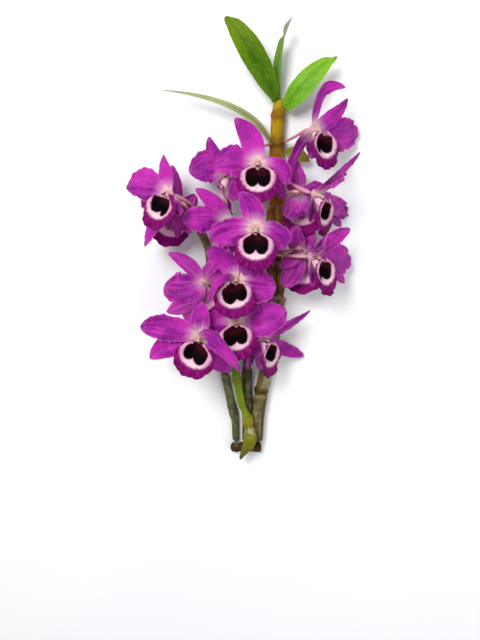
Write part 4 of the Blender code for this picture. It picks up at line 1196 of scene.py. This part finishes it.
# %% [markdown]
# ### Leaf skin
# The skin is waxed, so it has a soft shine. Its parallel veins are lighter, the green turns yellower
# towards the sun at the tip, and the very tip has often died back to brown. Each leaf is of another
# age, which shows in its colours: deep, bright, greyed, straw, and the brown-edged bract.

# %% leaf skin, and the leaves in place
def leaf_cuticle(name, paints, roughness, streak=0.35, stained=0.5, dried=0.965):
    """Waxy leaf skin with parallel veins, yellower towards the tip, stained along the midrib.

    The veins of a dendrobium leaf are 1 to 1.5 mm apart, and the grain between them is 1.6 mm.
    Beyond the share dried of its length the leaf has died back.
    """
    material, tree = new_material(f"leaf_cuticle_{name}", roughness, subsurface_weight=0.06,
                                  subsurface_scale=0.002, specular_ior_level=0.1)
    dark, light, edge, sunny, tip, stain = paints.split()
    veins = lengthwise(tree, 15.0, 0.8)
    aside = add_node(tree, "Math", {0: "across"}, operation="ABSOLUTE")
    colour = painted(tree, dark, (light, 1.0, (clouds(tree, 16.0, 3.0), 0.36, 0.64)),
                     (sunny, 0.75, ("along", 0.35, 0.95)),
                     (edge, streak, (veins, 0.5, 0.66)),
                     (edge, 0.5, (clouds(tree, 1.6), 0.50, 0.68)),
                     (stain, stained, (aside, 0.6, 0.0), (clouds(tree, 13.0, 5.0), 0.38, 0.66)),
                     (edge, 0.25, (aside, 0.05, 0.01)),
                     (edge, 0.6, (aside, 0.90, 1.0)),
                     (tip, 1.0, ("along", dried, dried + 0.03)))
    return finished(material, colour, (veins, 0.35, 0.5))


# The paints are dark, light, edge, sunny, tip and stain
LEAF_FINISHES = {
    "leaf_broad_left": leaf_cuticle("deep", "305E04 3E6C02 748A10 668004 7A7A2A 2A4604", 0.42,
                                    stained=0.7, dried=0.985),
    "leaf_broad_right": leaf_cuticle("bright", "549410 66A41E 98C046 7CAE2C 8A7A4A 3E7A0C", 0.42,
                                     dried=0.98),
    "leaf_narrow_top": leaf_cuticle("grey", "447418 5E8A2C 86A052 76904A 8A8A74 386214", 0.48,
                                    dried=0.74),
    "leaf_old_thin": leaf_cuticle("straw", "8C9860 A4AE7A 8C985C A8AC80 988A5E 7A6E48", 0.6),
    "leaf_bract": leaf_cuticle("bract", "566E18 748626 A07A30 80702A 7A4A20 6E5A20", 0.5),
}
for leaf, finish in LEAF_FINISHES.items():
    place_piece(leaf.replace("leaf_", "blade_"), leaf_skin(leaf, draws.uniform(0, 6)), finish,
                [leaf])
print("leaves placed:", list(LEAVES))

# %% [markdown]
# ## Rootstock
# The rootstock is a short knuckled bar under the canes, brown and fibrous, cut clean at its ends.

# %% rootstock
ROOTSTOCK = [(-12.0, 7.0, 4.6, 2.6), (-8.5, 7, 4.6, 4.8), (-3.0, 7, 4.6, 4.2), (1.5, 7, 4.6, 5.0),
             (4.0, 7, 4.6, 5.0), (8.0, 7, 4.6, 4.3), (13.0, 7, 4.6, 5.0), (17.5, 7, 4.6, 4.4)]
ROOTSTOCK_RINGS, ROOTSTOCK_SIDES = 110, 44
ROOTSTOCK_RADIUS = 4.6


def rootstock_skin(seed):
    """The table's bar with knuckles, furrows and lumps as sines of the angle and the distance."""
    p = np.linspace(ROOTSTOCK[0][0], ROOTSTOCK[-1][0], ROOTSTOCK_RINGS)[:, None]
    y, z, radius = table_curves(p, 0, ROOTSTOCK, (1, 2, 3))
    angle = around(ROOTSTOCK_SIDES)
    body = radius + 0.22 * np.sin(7 * angle + 0.5 * p + seed) + 0.25 * np.sin(3 * angle - 0.9 * p)
    ends = np.minimum(eased(-0.4, 1.2, p - p[0]), eased(-0.4, 1.2, p[-1] - p))
    return grounded(tube_skin(np.hstack([p, y, z]), body * (0.55 + 0.45 * ends), {
        "up": p, "turn_x": np.cos(angle), "turn_y": np.sin(angle),
        "fat": radius / ROOTSTOCK_RADIUS}, ROOTSTOCK_SIDES))


ROOT_FIBRE = cane_rind("rootstock_fibre", [(-12, "4A3418"), (4, "5E4526"), (18, "3E2C14")],
                      "2E2010", "8A7A5A", "1E140A", 0.82)
place_piece("rootstock_bar", rootstock_skin(draws.uniform(0, 6)), ROOT_FIBRE,
            ["rootstock"])
print("rootstock placed")

# %% [markdown]
# ## The surface that it lies on
# A plain pale floor, a little rough, with the faintest cloudiness so that it isn't a flat colour.

# %% floor
# Half its side, and how far it lies under the stem, in metres, and how many points each way
FLOOR_HALF, FLOOR_DROP, FLOOR_POINTS = 2.5, 0.0004, 9


def pale_paint():
    """Matt white paint, very slightly clouded, in clouds 260 mm across."""
    material, tree = new_material("pale_paint", 0.85)
    return finished(material, painted(tree, "F4F5F7", ("F8F8F8", 1.0, (clouds(tree, 260.0), 0.3, 0.7))))


side = np.linspace(-FLOOR_HALF, FLOOR_HALF, FLOOR_POINTS)
floor_x, floor_y = np.meshgrid(side, side, indexing="ij")
floor_points = np.stack([floor_x, floor_y, np.full_like(floor_x, -FLOOR_DROP)], -1).reshape(-1, 3)
floor = mesh_object("floor", floor_points.tolist(),
                    cell_faces(FLOOR_POINTS, FLOOR_POINTS).tolist(), pale_paint())
print("floor placed")
